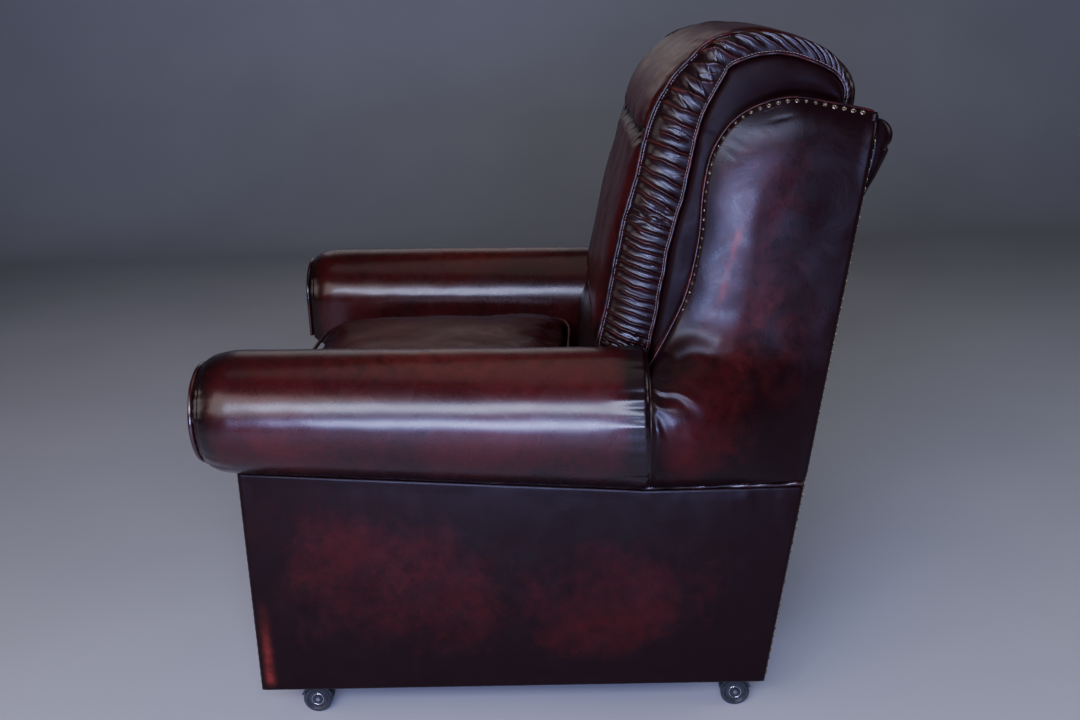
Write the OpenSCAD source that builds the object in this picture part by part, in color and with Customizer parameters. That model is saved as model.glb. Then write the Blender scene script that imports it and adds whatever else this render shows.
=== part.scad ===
// Low roll-arm leather armchair with a pleated border round its back pad, on twin-wheel casters.
// It faces -Y. +X is the sitter's left, +Z is up. The origin is on the floor, under the middle.

/* [Base] */
// Width over the lower side panels
base_w = 780; // [700:5:860]
// Depth of the base along its bottom edge
base_d = 755; // [690:5:820]
// Height of the base above the floor
base_clear = 68; // [64:1:90]
// Lean of the outside back from upright, in degrees
rake = 9.3; // [5:0.1:13]
// Height of the seam under the arm roll at the front
seam_front_z = 428; // [400:1:450]
// Height of that seam from the wing to the rear
seam_rear_z = 388; // [370:1:400]
// Thickness of the padded leather panels outside the frame
panel_t = 17; // [12:1:24]
// Softening of the panels' edges
panel_round = 5; // [2:0.5:8]

/* [Arms] */
// How far an arm roll stands out past the base's side
roll_proud = 72; // [50:1:90]
// Width of one arm roll
roll_w = 180; // [150:2:200]
// Height of the arm's top at the front
arm_top_z = 597; // [550:1:620]
// Fall of the arm's top from front to wing
arm_top_fall = 13; // [0:1:20]
// Reach of the arm roll in front of the base
arm_overhang = 44; // [30:1:70]
// Thickness of the padding on top of the arm's board
arm_pad_t = 71; // [50:1:84]
// Depth of the rounding at the roll's front end
nose_d = 54; // [30:1:60]
// How far that rounding draws the roll in
nose_inset = 22; // [10:1:30]
// How far the facing panel stands proud of the roll
facing_proud = 9; // [4:0.5:14]
// Diameter of the leather piping
piping_d = 7; // [5:0.5:10]

/* [Wings and back shell] */
// Height of the wing's crown above the floor
wing_top_z = 917; // [860:1:980]
// Rise of the wing's rim from the arm to its crown
wing_rise = 364; // [300:2:420]
// Run of the wing's rim from the arm seam to the rear
wing_run = 307; // [260:1:340]
// How far a wing's face stands out past the base's side
wing_proud = 4; // [2:0.5:12]
// How far the wing's face is drawn in at its rim
rim_draw = 16; // [8:1:18]
// Thickness of the leather strip along the rim
rim_strip_t = 6; // [4:0.5:9]
// Thickness of the outside back panel
back_t = 9; // [6:0.5:14]
// How far the padded roll at the top of the back stands out
back_roll_proud = 31; // [15:1:45]
// Height of that roll down the back
back_roll_h = 118; // [80:1:150]

/* [Back pad] */
// Height of the back pad's top above the floor
pad_top_z = 998; // [950:1:1050]
// Thickness of the pad's pleated side, from the front piping to the side frame
pad_side_t = 34; // [28:1:48]
// Rise of the front piping from the arm to the pad's top
pad_rise = 430; // [380:2:480]
// Run of the front piping from the arm to the pad's rear
pad_run = 348; // [300:2:352]
// How far the pad's foot stands in front of the wing's foot
pad_lead = 68; // [50:1:75]
// Width of the pleated border, seen from the side
band_w = 70; // [50:1:90]
// Pleats in one border
pleats = 56; // [30:1:70]
// Depth of one pleat
pleat_d = 3; // [1:0.5:5]
// Crown of the pad's front panel
pad_crown = 16; // [6:1:30]
// Thickness of the pad's front padding
pad_front_t = 60; // [40:1:80]
// Depth of the pulled line under the head roll
pull_d = 13; // [6:1:20]
// Height of the pulled line above the floor
pull_z = 866; // [820:1:900]
// Buttons along the pulled line
buttons = 5; // [3:1:7]
// Diameter of a button
button_d = 26; // [18:1:34]

/* [Seat] */
// Height of the seat deck above the floor
deck_z = 334; // [320:1:350]
// Thickness of the seat cushion at its edges
cushion_edge_t = 140; // [110:1:150]
// Crown of the seat cushion
cushion_crown = 34; // [15:1:45]
// How far the cushion's sides draw in between its corners
cushion_draw = 7; // [2:1:14]
// Depth of the seat cushion
cushion_d = 490; // [450:2:496]
// Spring strips under the seat
springs = 5; // [4:1:8]
// Turns in one spring strip
spring_turns = 8; // [6:1:14]
// Wire diameter of the springs
spring_wire = 4; // [3:0.5:5]

/* [Frame] */
// Thickness of the side frames
board_t = 27; // [20:1:32]
// Thickness of the rails
rail_t = 25; // [18:1:30]
// Width of the bars of a side frame
bar_w = 62; // [45:1:75]

/* [Casters] */
// Diameter of a caster wheel
wheel_d = 44; // [38:1:50]
// Width of a caster wheel
wheel_w = 14; // [10:1:18]
// Diameter of the axle
axle_d = 6; // [5:0.5:8]
// Diameter of the stem
stem_d = 10; // [8:0.5:12]
// Length of the stem in its socket
stem_l = 34; // [25:1:45]
// Distance from the stem's axis back to the axle
trail = 17; // [12:1:20]
// Distance of the stem's axis in from the base's sides
caster_inset_x = 66; // [60:1:90]
// Distance of the stem's axis in from the base's front and rear
caster_inset_y = 54; // [50:1:80]

/* [Nails] */
// Diameter of a nail's head
nail_d = 10; // [6:0.5:11]
// Distance from one nail to the next
nail_pitch = 12.5; // [11.5:0.5:16]

/* [Fits] */
// Gap between a soft piece and one that moves against it
soft_gap = 0.4; // [0.3:0.1:1]
// Gap between flat pieces of the frame and padding that lie on each other
rail_gap = 0.1; // [0.05:0.05:0.3]
// Gap between the rear piping of the pad and the side frame
band_gap = 1; // [0.5:0.5:3]
// Radial clearance of a running fit
run_gap = 0.05; // [0.02:0.01:0.1]

/* [Hidden] */
$fn = 48;
cut = 2;

leather = [0.30, 0.07, 0.06];
dark_leather = [0.20, 0.05, 0.05];
brass = [0.50, 0.40, 0.24];
wood = [0.70, 0.55, 0.38];
steel = [0.60, 0.60, 0.62];
cloth = [0.12, 0.12, 0.12];
webbing_tan = [0.55, 0.45, 0.32];
foam = [0.85, 0.80, 0.65];
plastic = [0.10, 0.10, 0.11];

// Height of the rim's rear end, as a share of the rim's rise
rim_end_share = 0.935;

// Places worked out from the driving sizes
lean = tan(rake);
back_roll_z = wing_top_z - wing_rise * (1 - rim_end_share) - back_roll_proud;
overall_d = arm_overhang + base_d + lean * (back_roll_z - base_clear) + back_roll_proud;
arm_front_y = -overall_d / 2;
base_front_y = arm_front_y + arm_overhang;
base_rear_y = base_front_y + base_d;
board_x = base_w / 2 - panel_t;
board_in_x = board_x - board_t;
overall_w = base_w + 2 * roll_proud;
roll_x = overall_w / 2 - roll_w / 2;
arm_in_x = overall_w / 2 - roll_w;
shell_half_w = base_w / 2 + wing_proud;
pad_half_w = board_in_x - pad_side_t;
band_bulge = pad_side_t - piping_d - band_gap;
// Distance from the outside of the back to its panel's inner face, and to the rails' front faces
rail_back = back_t + rail_gap;
rail_face = rail_back + rail_t;
wing_foot_y = back_y(wing_top_z) - wing_run;
wing_foot_z = wing_top_z - wing_rise;
rail_front_y = base_front_y + panel_t;
full_turn = 360;

function back_y(z) = base_rear_y + lean * (z - base_clear);
function mix(a, b, t) = a + (b - a) * t;
function clamp01(t) = min(1, max(0, t));
function ease(t) = let (c = clamp01(t)) c * c * (3 - 2 * c);
function unit(v) = v / norm(v);

// A smooth curve through the points of p, with n steps between two of them
function curve(p, n) = [
    for (i = [0 : len(p) - 2], k = [0 : n - 1])
        let (a = p[max(i - 1, 0)], b = p[i], c = p[i + 1], d = p[min(i + 2, len(p) - 1)], t = k / n)
        (2 * b + (c - a) * t + (2 * a - 5 * b + 4 * c - d) * t * t
            + (3 * b - a - 3 * c + d) * t * t * t) / 2,
    p[len(p) - 1]
];
// Lengths along a path, up to each of its points
function run_of(p, i = 1, s = [0]) =
    i >= len(p) ? s : run_of(p, i + 1, concat(s, s[i - 1] + norm(p[i] - p[i - 1])));
// The point of a path at length s along it
function at_run(p, r, s, i = 1) =
    i >= len(p) - 1 || r[i] >= s
        ? mix(p[i - 1], p[i], clamp01((s - r[i - 1]) / (r[i] - r[i - 1])))
        : at_run(p, r, s, i + 1);
// A path with n equal steps along it
function even(p, n) = let (r = run_of(p)) [for (i = [0 : n]) at_run(p, r, r[len(r) - 1] * i / n)];
// The direction of a path at its point i
function along(p, i) = unit(p[min(i + 1, len(p) - 1)] - p[max(i - 1, 0)]);
// A flat path moved sideways by d, to the right of its direction
function beside(p, d) = [for (i = [0 : len(p) - 1]) let (t = along(p, i)) p[i] + d * [t[1], -t[0]]];
function reverse(p) = [for (i = [len(p) - 1 : -1 : 0]) p[i]];

// A closed solid through rings of equal length; an end that isn't convex is laid in strips
module loft(rings, strips = false) {
    n = len(rings[0]);
    m = len(rings);
    points = [for (ring = rings, p = ring) p];
    walls = [
        for (i = [0 : m - 2], j = [0 : n - 1])
            let (a = i * n + j, b = i * n + (j + 1) % n, c = a + n, d = b + n)
            each [[a, b, c], [b, d, c]]
    ];
    half = ceil(n / 2);
    whole = [[for (j = [0 : n - 1]) j]];
    strip = [for (j = [0 : half - 2]) let (quad = [j, j + 1, n - 2 - j, n - 1 - j])
        j + 1 == n - 2 - j ? [quad[0], quad[1], quad[3]] : quad];
    caps = strips ? strip : whole;
    starts = [for (face = caps) reverse(face)];
    ends = [for (face = caps) [for (j = face) (m - 1) * n + j]];
    polyhedron(points, concat(walls, starts, ends));
}

// A closed solid round a flat closed path; ref is square to the path's plane
module hoop(path, d, ref, sides = 8) {
    n = len(path);
    points = [
        for (i = [0 : n - 1])
            let (t = unit(path[(i + 1) % n] - path[(i + n - 1) % n]), u = unit(cross(t, ref)))
            each [for (k = [0 : sides - 1])
                path[i] + d / 2 * (cos(full_turn * k / sides) * u + sin(full_turn * k / sides) * ref)]
    ];
    polyhedron(points, [
        for (i = [0 : n - 1], k = [0 : sides - 1])
            let (a = i * sides + k, b = i * sides + (k + 1) % sides,
                c = (i + 1) % n * sides + k, e = (i + 1) % n * sides + (k + 1) % sides)
            each [[a, b, c], [b, e, c]]
    ]);
}

// A round cord of diameter d along an open path; ref is a direction that the path never takes
module cord(path, d, ref, sides = 8) {
    loft([
        for (i = [0 : len(path) - 1])
            let (t = along(path, i), u = unit(cross(t, ref)), v = cross(u, t))
            [for (k = [0 : sides - 1]) let (a = full_turn * k / sides)
                path[i] + d / 2 * (cos(a) * u + sin(a) * v)]
    ]);
}

// Draws its children on the left, or mirrored on the right
module on_side(right) {
    if (right) {
        mirror([1, 0, 0]) children();
    } else {
        children();
    }
}

// Extrudes a flat outline of [y, z] points along X from x0 to x1
module slab(points, x0, x1) {
    translate([x0, 0, 0]) rotate([90, 0, 90]) linear_extrude(x1 - x0) polygon(points);
}

// Outlines of the wing, the pad and the arm

// The wing's rim from the arm to the rear, as shares of its run and rise
rim_shares = [[0, 0], [0.10, 0.15], [0.18, 0.30], [0.235, 0.50], [0.255, 0.68], [0.30, 0.83],
    [0.41, 0.945], [0.60, 1], [0.80, 0.975], [1, rim_end_share]];
rim_path = even(curve([
    for (s = rim_shares) [wing_foot_y + s[0] * wing_run, wing_foot_z + s[1] * wing_rise]
], 6), 44);
rim_end = rim_path[len(rim_path) - 1];
function rim_y(z) = wing_foot_y + wing_run * lookup((z - wing_foot_z) / wing_rise,
    [for (i = [0 : 6]) [rim_shares[i][1], rim_shares[i][0]]]);

// The front piping of the back pad, as shares of its run and rise from the arm to over the top
pad_foot_y = wing_foot_y - pad_lead;
pad_foot_z = pad_top_z - pad_rise;
pad_shares = [[0, 0], [0.045, 0.15], [0.085, 0.30], [0.125, 0.44], [0.175, 0.57], [0.205, 0.67],
    [0.24, 0.76], [0.30, 0.85], [0.375, 0.92], [0.475, 0.985], [0.62, 1], [0.80, 0.97],
    [0.94, 0.91], [1.005, 0.84], [1, 0.757]];
pad_path = even(curve([
    for (s = pad_shares) [pad_foot_y + s[0] * pad_run, pad_foot_z + s[1] * pad_rise]
], 5), 60);

// The rear piping follows the front one inside the profile
band_shares = [1, 0.98, 0.95, 0.95, 0.92, 0.80, 0.56, 0.30, 0.23, 0.23];
function band_at(t) = band_w * lookup(t, [for (i = [0 : len(band_shares) - 1])
    [i / (len(band_shares) - 1), band_shares[i]]]);
pad_last = len(pad_path) - 1;
rear_path = [for (i = [0 : pad_last]) let (t = along(pad_path, i))
    pad_path[i] + band_at(i / pad_last) * [t[1], -t[0]]];

// Height of the seam under the arm roll at depth y
function seam_z(y) = mix(seam_front_z, seam_rear_z,
    clamp01((y - base_front_y) / (wing_foot_y - base_front_y)));
function arm_top(y) = arm_top_z - arm_top_fall * (y - arm_front_y) / (wing_foot_y - arm_front_y);
function roll_low(y) = seam_z(max(y, base_front_y)) - piping_d;
roll_steps = 22;
roll_turn = 260;
foot_round = 14;
foot_steps = 3;

// One cross-section of the arm at depth y, drawn in by inset, with its inner face down to foot_z
function arm_ring(y, inset, foot_z) =
    let (top = arm_top(y), low = roll_low(y), cz = (top + low) / 2, rz = (top - low) / 2 - inset,
        rx = roll_w / 2 - inset)
    concat([for (k = [0 : foot_steps]) let (a = 270 - 90 * k / foot_steps)
            [roll_x - rx + foot_round * (1 + cos(a)), y, foot_z + inset + foot_round * (1 + sin(a))]],
        [for (k = [0 : roll_steps]) let (a = 180 - roll_turn * k / roll_steps)
            [roll_x + rx * cos(a), y, cz + rz * sin(a)]],
        [[roll_x, y, foot_z + inset]]);
nose_low_z = roll_low(base_front_y) - soft_gap;
nose_steps = 5;
function nose_in(t) = nose_inset * (1 - sqrt(1 - (1 - t) * (1 - t)));
facing_y = arm_front_y + facing_proud;

arm_board_z = arm_top_z - arm_pad_t;
frame_rim = beside(rim_path, rim_strip_t);

// Hardwood frame

// A side frame: a bottom rail, a front post, an arm rail and a raked rear post that carries the wing
module side_frame(right) {
    window_low = base_clear + 2 * bar_w;
    wing_post_y = wing_foot_y + bar_w;
    color(wood) on_side(right) difference() {
        union() {
            slab([
                [rail_front_y, base_clear], [back_y(base_clear) - back_t, base_clear],
                [back_y(arm_board_z) - back_t, arm_board_z], [rail_front_y, arm_board_z]
            ], board_in_x, board_x);
            slab(concat(
                frame_rim, [[back_y(arm_board_z), arm_board_z - cut], [frame_rim[0][0], arm_board_z - cut]]
            ), board_in_x, board_x);
        }
        behind_back(0, overall_w);
        slab([
            [rail_front_y + bar_w, window_low], [wing_foot_y, window_low],
            [wing_foot_y, arm_board_z - bar_w], [rail_front_y + bar_w, arm_board_z - bar_w]
        ], board_in_x - cut, board_x + cut);
        slab([
            [wing_post_y, window_low], [back_y(window_low) - back_t - bar_w, window_low],
            [back_y(arm_board_z) - back_t - bar_w, arm_board_z - bar_w],
            [wing_post_y, arm_board_z - bar_w]
        ], board_in_x - cut, board_x + cut);
        slab([
            [rim_y(wing_foot_z + bar_w) + bar_w, wing_foot_z + bar_w],
            [back_y(wing_foot_z) - back_t - bar_w, wing_foot_z + bar_w],
            [back_y(wing_top_z - 2 * bar_w) - back_t - bar_w, wing_top_z - 2 * bar_w],
            [rim_y(wing_top_z - 2 * bar_w) + bar_w, wing_top_z - 2 * bar_w]
        ], board_in_x - cut, board_x + cut);
    }
}

seat_rail_h = deck_z - rail_t / 2 - base_clear;
module front_rail() {
    color(wood) translate([-board_in_x, rail_front_y, base_clear])
        cube([2 * board_in_x, rail_t, seat_rail_h]);
}

module raked_rail(z0, z1) {
    slab([
        [back_y(z0) - rail_face, z0], [back_y(z0) - rail_back, z0],
        [back_y(z1) - rail_back, z1], [back_y(z1) - rail_face, z1]
    ], -board_in_x, board_in_x);
}

module back_rail() {
    color(wood) raked_rail(base_clear, base_clear + seat_rail_h);
}

lumbar_z = deck_z + bar_w;
module lumbar_rail() {
    color(wood) raked_rail(lumbar_z, lumbar_z + bar_w);
}

top_rail_z = rim_end[1] - rim_strip_t - bar_w;
module top_rail() {
    color(wood) raked_rail(top_rail_z, rim_end[1] - rim_strip_t);
}

caster_x = base_w / 2 - caster_inset_x;
caster_front_y = base_front_y + caster_inset_y;
caster_rear_y = base_rear_y - caster_inset_y;
block_h = stem_l + rail_t / 2;
socket_wall = 2;
socket_plate_t = 2.5;
socket_plate_w = 38;
module corner_blocks() {
    block = board_in_x - caster_x + socket_plate_w;
    color(wood) for (mirrored = [0, 1]) mirror([mirrored, 0, 0]) {
        difference() {
            slab([
                [rail_front_y + rail_t, base_clear], [rail_front_y + rail_t + block, base_clear],
                [rail_front_y + rail_t + block, base_clear + block_h],
                [rail_front_y + rail_t, base_clear + block_h]
            ], board_in_x - block, board_in_x);
            translate([caster_x, caster_front_y, base_clear - cut])
                cylinder(h = block_h + 2 * cut, d = stem_d + 2 * socket_wall);
        }
        difference() {
            slab([
                [base_rear_y - rail_face - block, base_clear], [base_rear_y - rail_face, base_clear],
                [back_y(base_clear + block_h) - rail_face, base_clear + block_h],
                [base_rear_y - rail_face - block, base_clear + block_h]
            ], board_in_x - block, board_in_x);
            translate([caster_x, caster_rear_y, base_clear - cut])
                cylinder(h = block_h + 2 * cut, d = stem_d + 2 * socket_wall);
        }
    }
}

// Springs, webbing and deck

spring_z = base_clear + seat_rail_h;
spring_front_y = rail_front_y + rail_t / 2;
spring_rear_y = back_y(spring_z) - rail_back - rail_t / 2;
spring_pitch_x = 2 * board_in_x / springs;
spring_half_w = spring_pitch_x / 3;
spring_lap = 0.5;
function spring_x(i) = -board_in_x + spring_pitch_x * (i + 1 / 2);
// One zigzag strip lies flat, with its round turns joined by straight bars
module spring_strip() {
    step = (spring_rear_y - spring_front_y) / (2 * spring_turns);
    for (k = [0 : 2 * spring_turns - 1]) {
        side = k % 2 == 0 ? 1 : -1;
        y = spring_front_y + step * (k + 1 / 2);
        translate([side * (spring_half_w - step / 2), y]) intersection() {
            difference() {
                circle(d = step + spring_wire);
                circle(d = step - spring_wire);
            }
            translate([side * step, 0]) square([2 * step, 2 * step], center = true);
        }
    }
    for (k = [0 : 2 * spring_turns]) {
        translate([0, spring_front_y + step * k])
            square([2 * spring_half_w - step + spring_lap, spring_wire], center = true);
    }
}
module seat_springs() {
    color(steel) for (i = [0 : springs - 1])
        translate([spring_x(i), 0, spring_z]) linear_extrude(spring_wire) spring_strip();
}

clip_t = 1.5;
clip_l = 20;
module spring_clips() {
    color(steel) for (i = [0 : springs - 1], y = [spring_front_y, spring_rear_y]) {
        translate([spring_x(i), y, spring_z + spring_wire]) difference() {
            translate([-clip_l / 2, -clip_l / 4, -spring_wire])
                cube([clip_l, clip_l / 2, spring_wire + clip_t]);
            translate([-clip_l, -spring_wire / 2, -spring_wire - cut])
                cube([2 * clip_l, spring_wire, spring_wire + cut]);
        }
    }
}

web_w = 50;
web_t = 1.6;
webs = 5;
// Straps up the back frame, from the lumbar rail to the top rail
module back_webbing() {
    z0 = lumbar_z + bar_w / 2;
    z1 = top_rail_z + bar_w / 2;
    front = rail_face + rail_gap;
    color(webbing_tan) for (i = [0 : webs - 1]) {
        x = -board_in_x + 2 * board_in_x * (i + 1 / 2) / webs;
        slab([
            [back_y(z0) - front - web_t, z0], [back_y(z0) - front, z0],
            [back_y(z1) - front, z1], [back_y(z1) - front - web_t, z1]
        ], x - web_w / 2, x + web_w / 2);
    }
}

deck_t = 6;
deck_low_z = deck_z - deck_t;
module deck_cloth() {
    color(cloth) slab([
        [rail_front_y, deck_low_z], [back_y(deck_low_z) - rail_face, deck_low_z],
        [back_y(deck_low_z) - rail_face, deck_z], [rail_front_y, deck_z]
    ], -board_in_x, board_in_x);
}

// Seat cushion

cushion_half_w = arm_in_x - soft_gap;
cushion_front_y = base_front_y;
cushion_corner = 46;
cushion_power = 7;
// Heights of the cushion's rings as shares of its edge, and how far each is drawn in
cushion_ring_shares = [[0, 0.35], [0.08, 0.10], [0.28, 0], [0.72, 0], [0.92, 0.10], [1, 0.35]];
cushion_top_shares = [0.92, 0.80, 0.66, 0.50, 0.32, 0.14];
cushion_sides = 40;
// A rounded rectangle of half sizes a and b, with its sides drawn in between the corners
function cushion_ring(a, b, z) = [
    for (k = [0 : cushion_sides - 1])
        let (t = full_turn * (k + 1 / 2) / cushion_sides, c = cos(t), s = sin(t),
            e = pow(pow(abs(c), cushion_power) + pow(abs(s), cushion_power), -1 / cushion_power),
            draw = cushion_draw * (1 - pow(min(abs(c), abs(s)) * e, 2)))
        [(a - draw) * c * e, cushion_front_y + cushion_d / 2 + (b - draw) * s * e, z]
];
// The crown at a point whose distances from the middle are shares u and v of the half sizes
function crown(u, v) = cushion_crown * (1 - u * u) * (1 - v * v);
module seat_cushion() {
    a = cushion_half_w;
    b = cushion_d / 2;
    z0 = deck_z + soft_gap;
    color(leather) loft(reverse(concat(
        [for (r = cushion_ring_shares)
            cushion_ring(a - r[1] * cushion_corner / 2, b - r[1] * cushion_corner / 2,
                z0 + r[0] * cushion_edge_t)],
        [for (s = cushion_top_shares) [for (p = cushion_ring(a * s, b * s, z0 + cushion_edge_t))
            p + [0, 0, crown(p[0] / a, (p[1] - cushion_front_y - b) / b)]]]
    )));
}

// Arms

arm_body_y = base_front_y + panel_t;
module arm_form() {
    loft(reverse(concat(
        [for (k = [0 : nose_steps])
            arm_ring(facing_y + nose_d * k / nose_steps, nose_in(k / nose_steps), nose_low_z)],
        [arm_ring(arm_body_y, 0, nose_low_z)],
        [for (k = [0 : 3]) arm_ring(mix(arm_body_y + soft_gap, wing_foot_y, k / 3), 0, deck_z)]
    )));
}
module arm_roll(right) {
    front = arm_body_y - soft_gap / 2;
    rear = wing_foot_y + cut;
    color(leather) on_side(right) difference() {
        arm_form();
        slab([[front, deck_z - cut], [rear, deck_z - cut], [rear, arm_board_z], [front, arm_board_z]],
            board_in_x, board_x);
        slab([
            [front, deck_z - cut], [rear, deck_z - cut], [rear, seam_z(wing_foot_y)],
            [wing_foot_y, seam_z(wing_foot_y)], [front, seam_z(front)]
        ], (board_in_x + board_x) / 2, overall_w);
    }
}

facing_crown_shares = [[1, 0], [0.97, 0.45], [0.86, 0.75], [0.60, 0.93], [0.25, 1]];
function facing_ring(share, y) =
    let (ring = arm_ring(facing_y, nose_inset, nose_low_z),
        mid = [roll_x, facing_y, (arm_top(facing_y) + roll_low(facing_y)) / 2])
    [for (p = ring) let (q = mid + (p - mid) * share) [q[0], y, q[2]]];
module arm_facing(right) {
    color(leather) on_side(right) loft([
        for (s = facing_crown_shares) facing_ring(s[0], facing_y - s[1] * facing_proud)
    ]);
}

module facing_piping(right) {
    share = 1 + piping_d * cos(45) / (roll_w - 2 * nose_inset);
    color(dark_leather) on_side(right)
        hoop(facing_ring(share, facing_y - piping_d / 2), piping_d, [0, 1, 0]);
}

// Base panels

// Everything behind the front face of the outside back, between x0 and x1
module behind_back(x0, x1) {
    slab([
        [back_y(0) - back_t, 0], [overall_d, 0],
        [overall_d, pad_top_z], [back_y(pad_top_z) - back_t, pad_top_z]
    ], x0, x1);
}

// The side panel's two stretches, front and rear of the wing's foot, drawn in by d
function side_outline(rear, d) =
    let (low = base_clear + d, front_z = seam_front_z - piping_d - d, rear_z = seam_rear_z - piping_d - d)
    rear
        ? [[wing_foot_y, low], [back_y(low) - d, low], [back_y(rear_z) - d, rear_z], [wing_foot_y, rear_z]]
        : [[base_front_y + d, low], [wing_foot_y, low], [wing_foot_y, rear_z], [base_front_y + d, front_z]];
module side_panel(right) {
    edge_x = base_w / 2 - panel_round;
    color(dark_leather) on_side(right) difference() {
        for (rear = [false, true]) hull() {
            slab(side_outline(rear, 0), board_x, edge_x);
            slab(side_outline(rear, panel_round), board_x, base_w / 2);
        }
        slab([
            [arm_front_y, 0], [rail_front_y, 0], [rail_front_y, seam_front_z], [arm_front_y, seam_front_z]
        ], board_x - cut, edge_x);
        behind_back(board_x - cut, edge_x);
    }
}

piping_sink_share = 0.25;
module side_piping(right) {
    x = base_w / 2 - piping_d * piping_sink_share;
    rear = back_y(seam_rear_z) - back_t;
    color(dark_leather) on_side(right) cord([
        for (y = [rail_front_y, wing_foot_y, rear]) [x, y, seam_z(y) - piping_d / 2]
    ], piping_d, [1, 0, 0]);
}

front_ear_z = seam_front_z - piping_d - soft_gap;
module front_border() {
    half = base_w / 2 - panel_round;
    color(dark_leather) translate([0, rail_front_y, 0]) rotate([90, 0, 0])
        linear_extrude(panel_t) polygon([
            [-half, base_clear], [half, base_clear], [half, front_ear_z], [arm_in_x, front_ear_z],
            [arm_in_x, deck_z], [-arm_in_x, deck_z], [-arm_in_x, front_ear_z], [-half, front_ear_z]
        ]);
}

module outside_back() {
    top = rim_end[1];
    color(dark_leather) slab([
        [back_y(base_clear) - back_t, base_clear], [back_y(base_clear), base_clear],
        [back_y(top - back_t / 2), top - back_t / 2], [back_y(top) - back_t / 2, top],
        [back_y(top) - back_t, top]
    ], panel_round - base_w / 2, base_w / 2 - panel_round);
}

roll_arc_steps = 12;
roll_flat_share = 0.8;
roll_low_angle = -35;
module back_roll() {
    r = back_roll_proud;
    z = back_roll_z;
    half = board_x;
    color(leather) slab(concat(
        [[back_y(z - back_roll_h), z - back_roll_h]],
        [for (k = [0 : roll_arc_steps]) let (a = mix(roll_low_angle, 90 - rake, k / roll_arc_steps))
            [back_y(z) + r * cos(a), z + r * sin(a) * roll_flat_share]],
        [[back_y(rim_end[1] - back_t / 2), rim_end[1] - back_t / 2]]
    ), -half, half);
}

// Wings

wing_foot_levels = 6;
wing_top_run = 20;
wing_top_drop = 2;
// The wing's edge from the seam under the arm up to the foot of the rim, then along the rim
wing_edge = concat(
    [for (k = [0 : wing_foot_levels - 1])
        [wing_foot_y, mix(seam_rear_z, wing_foot_z, k / wing_foot_levels)]],
    [for (p = rim_path) if (back_y(p[1]) - p[0] > wing_top_run) p]
);
wing_last = len(wing_edge) - 1;
wing_rear_top = wing_edge[wing_last][1] - wing_top_drop;
wing_rise_power = 1.15;
wing_cross_shares = [0, 0.04, 0.10, 0.20, 0.34, 0.52, 0.75, 1];
wing_inner_shares = [1, 0.66, 0.33, 0];
function arm_bulge(z) =
    let (y = wing_foot_y, cz = (arm_top(y) + roll_low(y)) / 2, rz = (arm_top(y) - roll_low(y)) / 2,
        k = (z - cz) / rz)
    abs(k) < 1 ? max(0, roll_x + roll_w / 2 * sqrt(1 - k * k) - shell_half_w) : 0;
merge_run = 150;
function wing_x(p, reach) =
    shell_half_w + arm_bulge(p[1]) * (1 - ease((p[0] - wing_foot_y) / merge_run))
        - rim_draw * ease((p[1] - wing_foot_z + bar_w / 2) / bar_w) * pow(1 - clamp01(reach / bar_w), 2);
function wing_rear(k) =
    let (z = mix(seam_rear_z, wing_rear_top, pow(k / wing_last, wing_rise_power)))
    [back_y(z) - soft_gap / 2, z];
// One cross-section from the rim to the rear, which laps over the edge of the outside back
function wing_ring(k) =
    let (a = wing_edge[k], b = wing_rear(k), run = back_y(a[1]) - a[0], lap_x = base_w / 2 - panel_round,
        stop = (run - back_t) / (run - soft_gap / 2), c = mix(a, b, stop))
    concat(
        [for (s = wing_cross_shares) let (p = mix(a, b, s)) [wing_x(p, norm(b - a) * s), p[0], p[1]]],
        [[lap_x, b[0], b[1]], [lap_x, c[0], c[1]]],
        [for (s = wing_inner_shares) let (p = mix(a, c, s)) [board_x, p[0], p[1]]]
    );
module wing(right) {
    color(leather) on_side(right)
        loft(reverse([for (k = concat([for (i = [0 : 2 : wing_last - 1]) i], [wing_last])) wing_ring(k)]),
            true);
}

rim_nails = floor(run_of(rim_path)[len(rim_path) - 1] / nail_pitch);
module wing_rim(right) {
    inner = beside(rim_path, rim_strip_t);
    color(dark_leather) on_side(right) difference() {
        slab(concat(rim_path, reverse(inner)), board_in_x, board_x);
        behind_back(0, overall_w);
    }
}

nail_round_share = 1.25;
// One nail: a low dome whose flat side lies on the leather
module nail() {
    rotate_extrude($fn = 16) intersection() {
        translate([0, nail_d * (1 - nail_round_share)]) circle(d = nail_d * nail_round_share);
        square([nail_d / 2, nail_d / 2]);
    }
}

nail_seat = 0.3;
module wing_nails() {
    run = run_of(rim_path);
    color(brass) for (right = [0, 1]) mirror([right, 0, 0]) for (k = [1 : rim_nails - 1]) {
        p = at_run(rim_path, run, k * nail_pitch);
        q = at_run(rim_path, run, k * nail_pitch + nail_pitch / 2);
        a = atan2(q[1] - p[1], q[0] - p[0]);
        translate([board_x - nail_d / 2, p[0], p[1]]) rotate([a, 0, 0])
            translate([0, 0, nail_seat]) nail();
    }
}

module rear_nails() {
    z0 = base_clear + nail_pitch;
    rise = nail_pitch * cos(rake);
    count = floor((rim_end[1] - rim_strip_t - z0) / rise);
    color(brass) for (right = [0, 1]) mirror([right, 0, 0]) for (k = [0 : count - 1]) {
        z = z0 + k * rise;
        translate([base_w / 2 - panel_round - nail_d / 2, back_y(z), z]) rotate([-90 - rake, 0, 0]) nail();
    }
}

module front_nails() {
    z0 = base_clear + nail_pitch;
    count = floor((front_ear_z - z0) / nail_pitch);
    color(brass) for (right = [0, 1]) mirror([right, 0, 0]) for (k = [0 : count - 1])
        translate([base_w / 2 - panel_round - nail_d / 2, base_front_y, z0 + k * nail_pitch])
            rotate([90, 0, 0]) nail();
}

// Back pad

pad_crown_power = 3;
crown_fade_share = 1 / 3;
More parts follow.
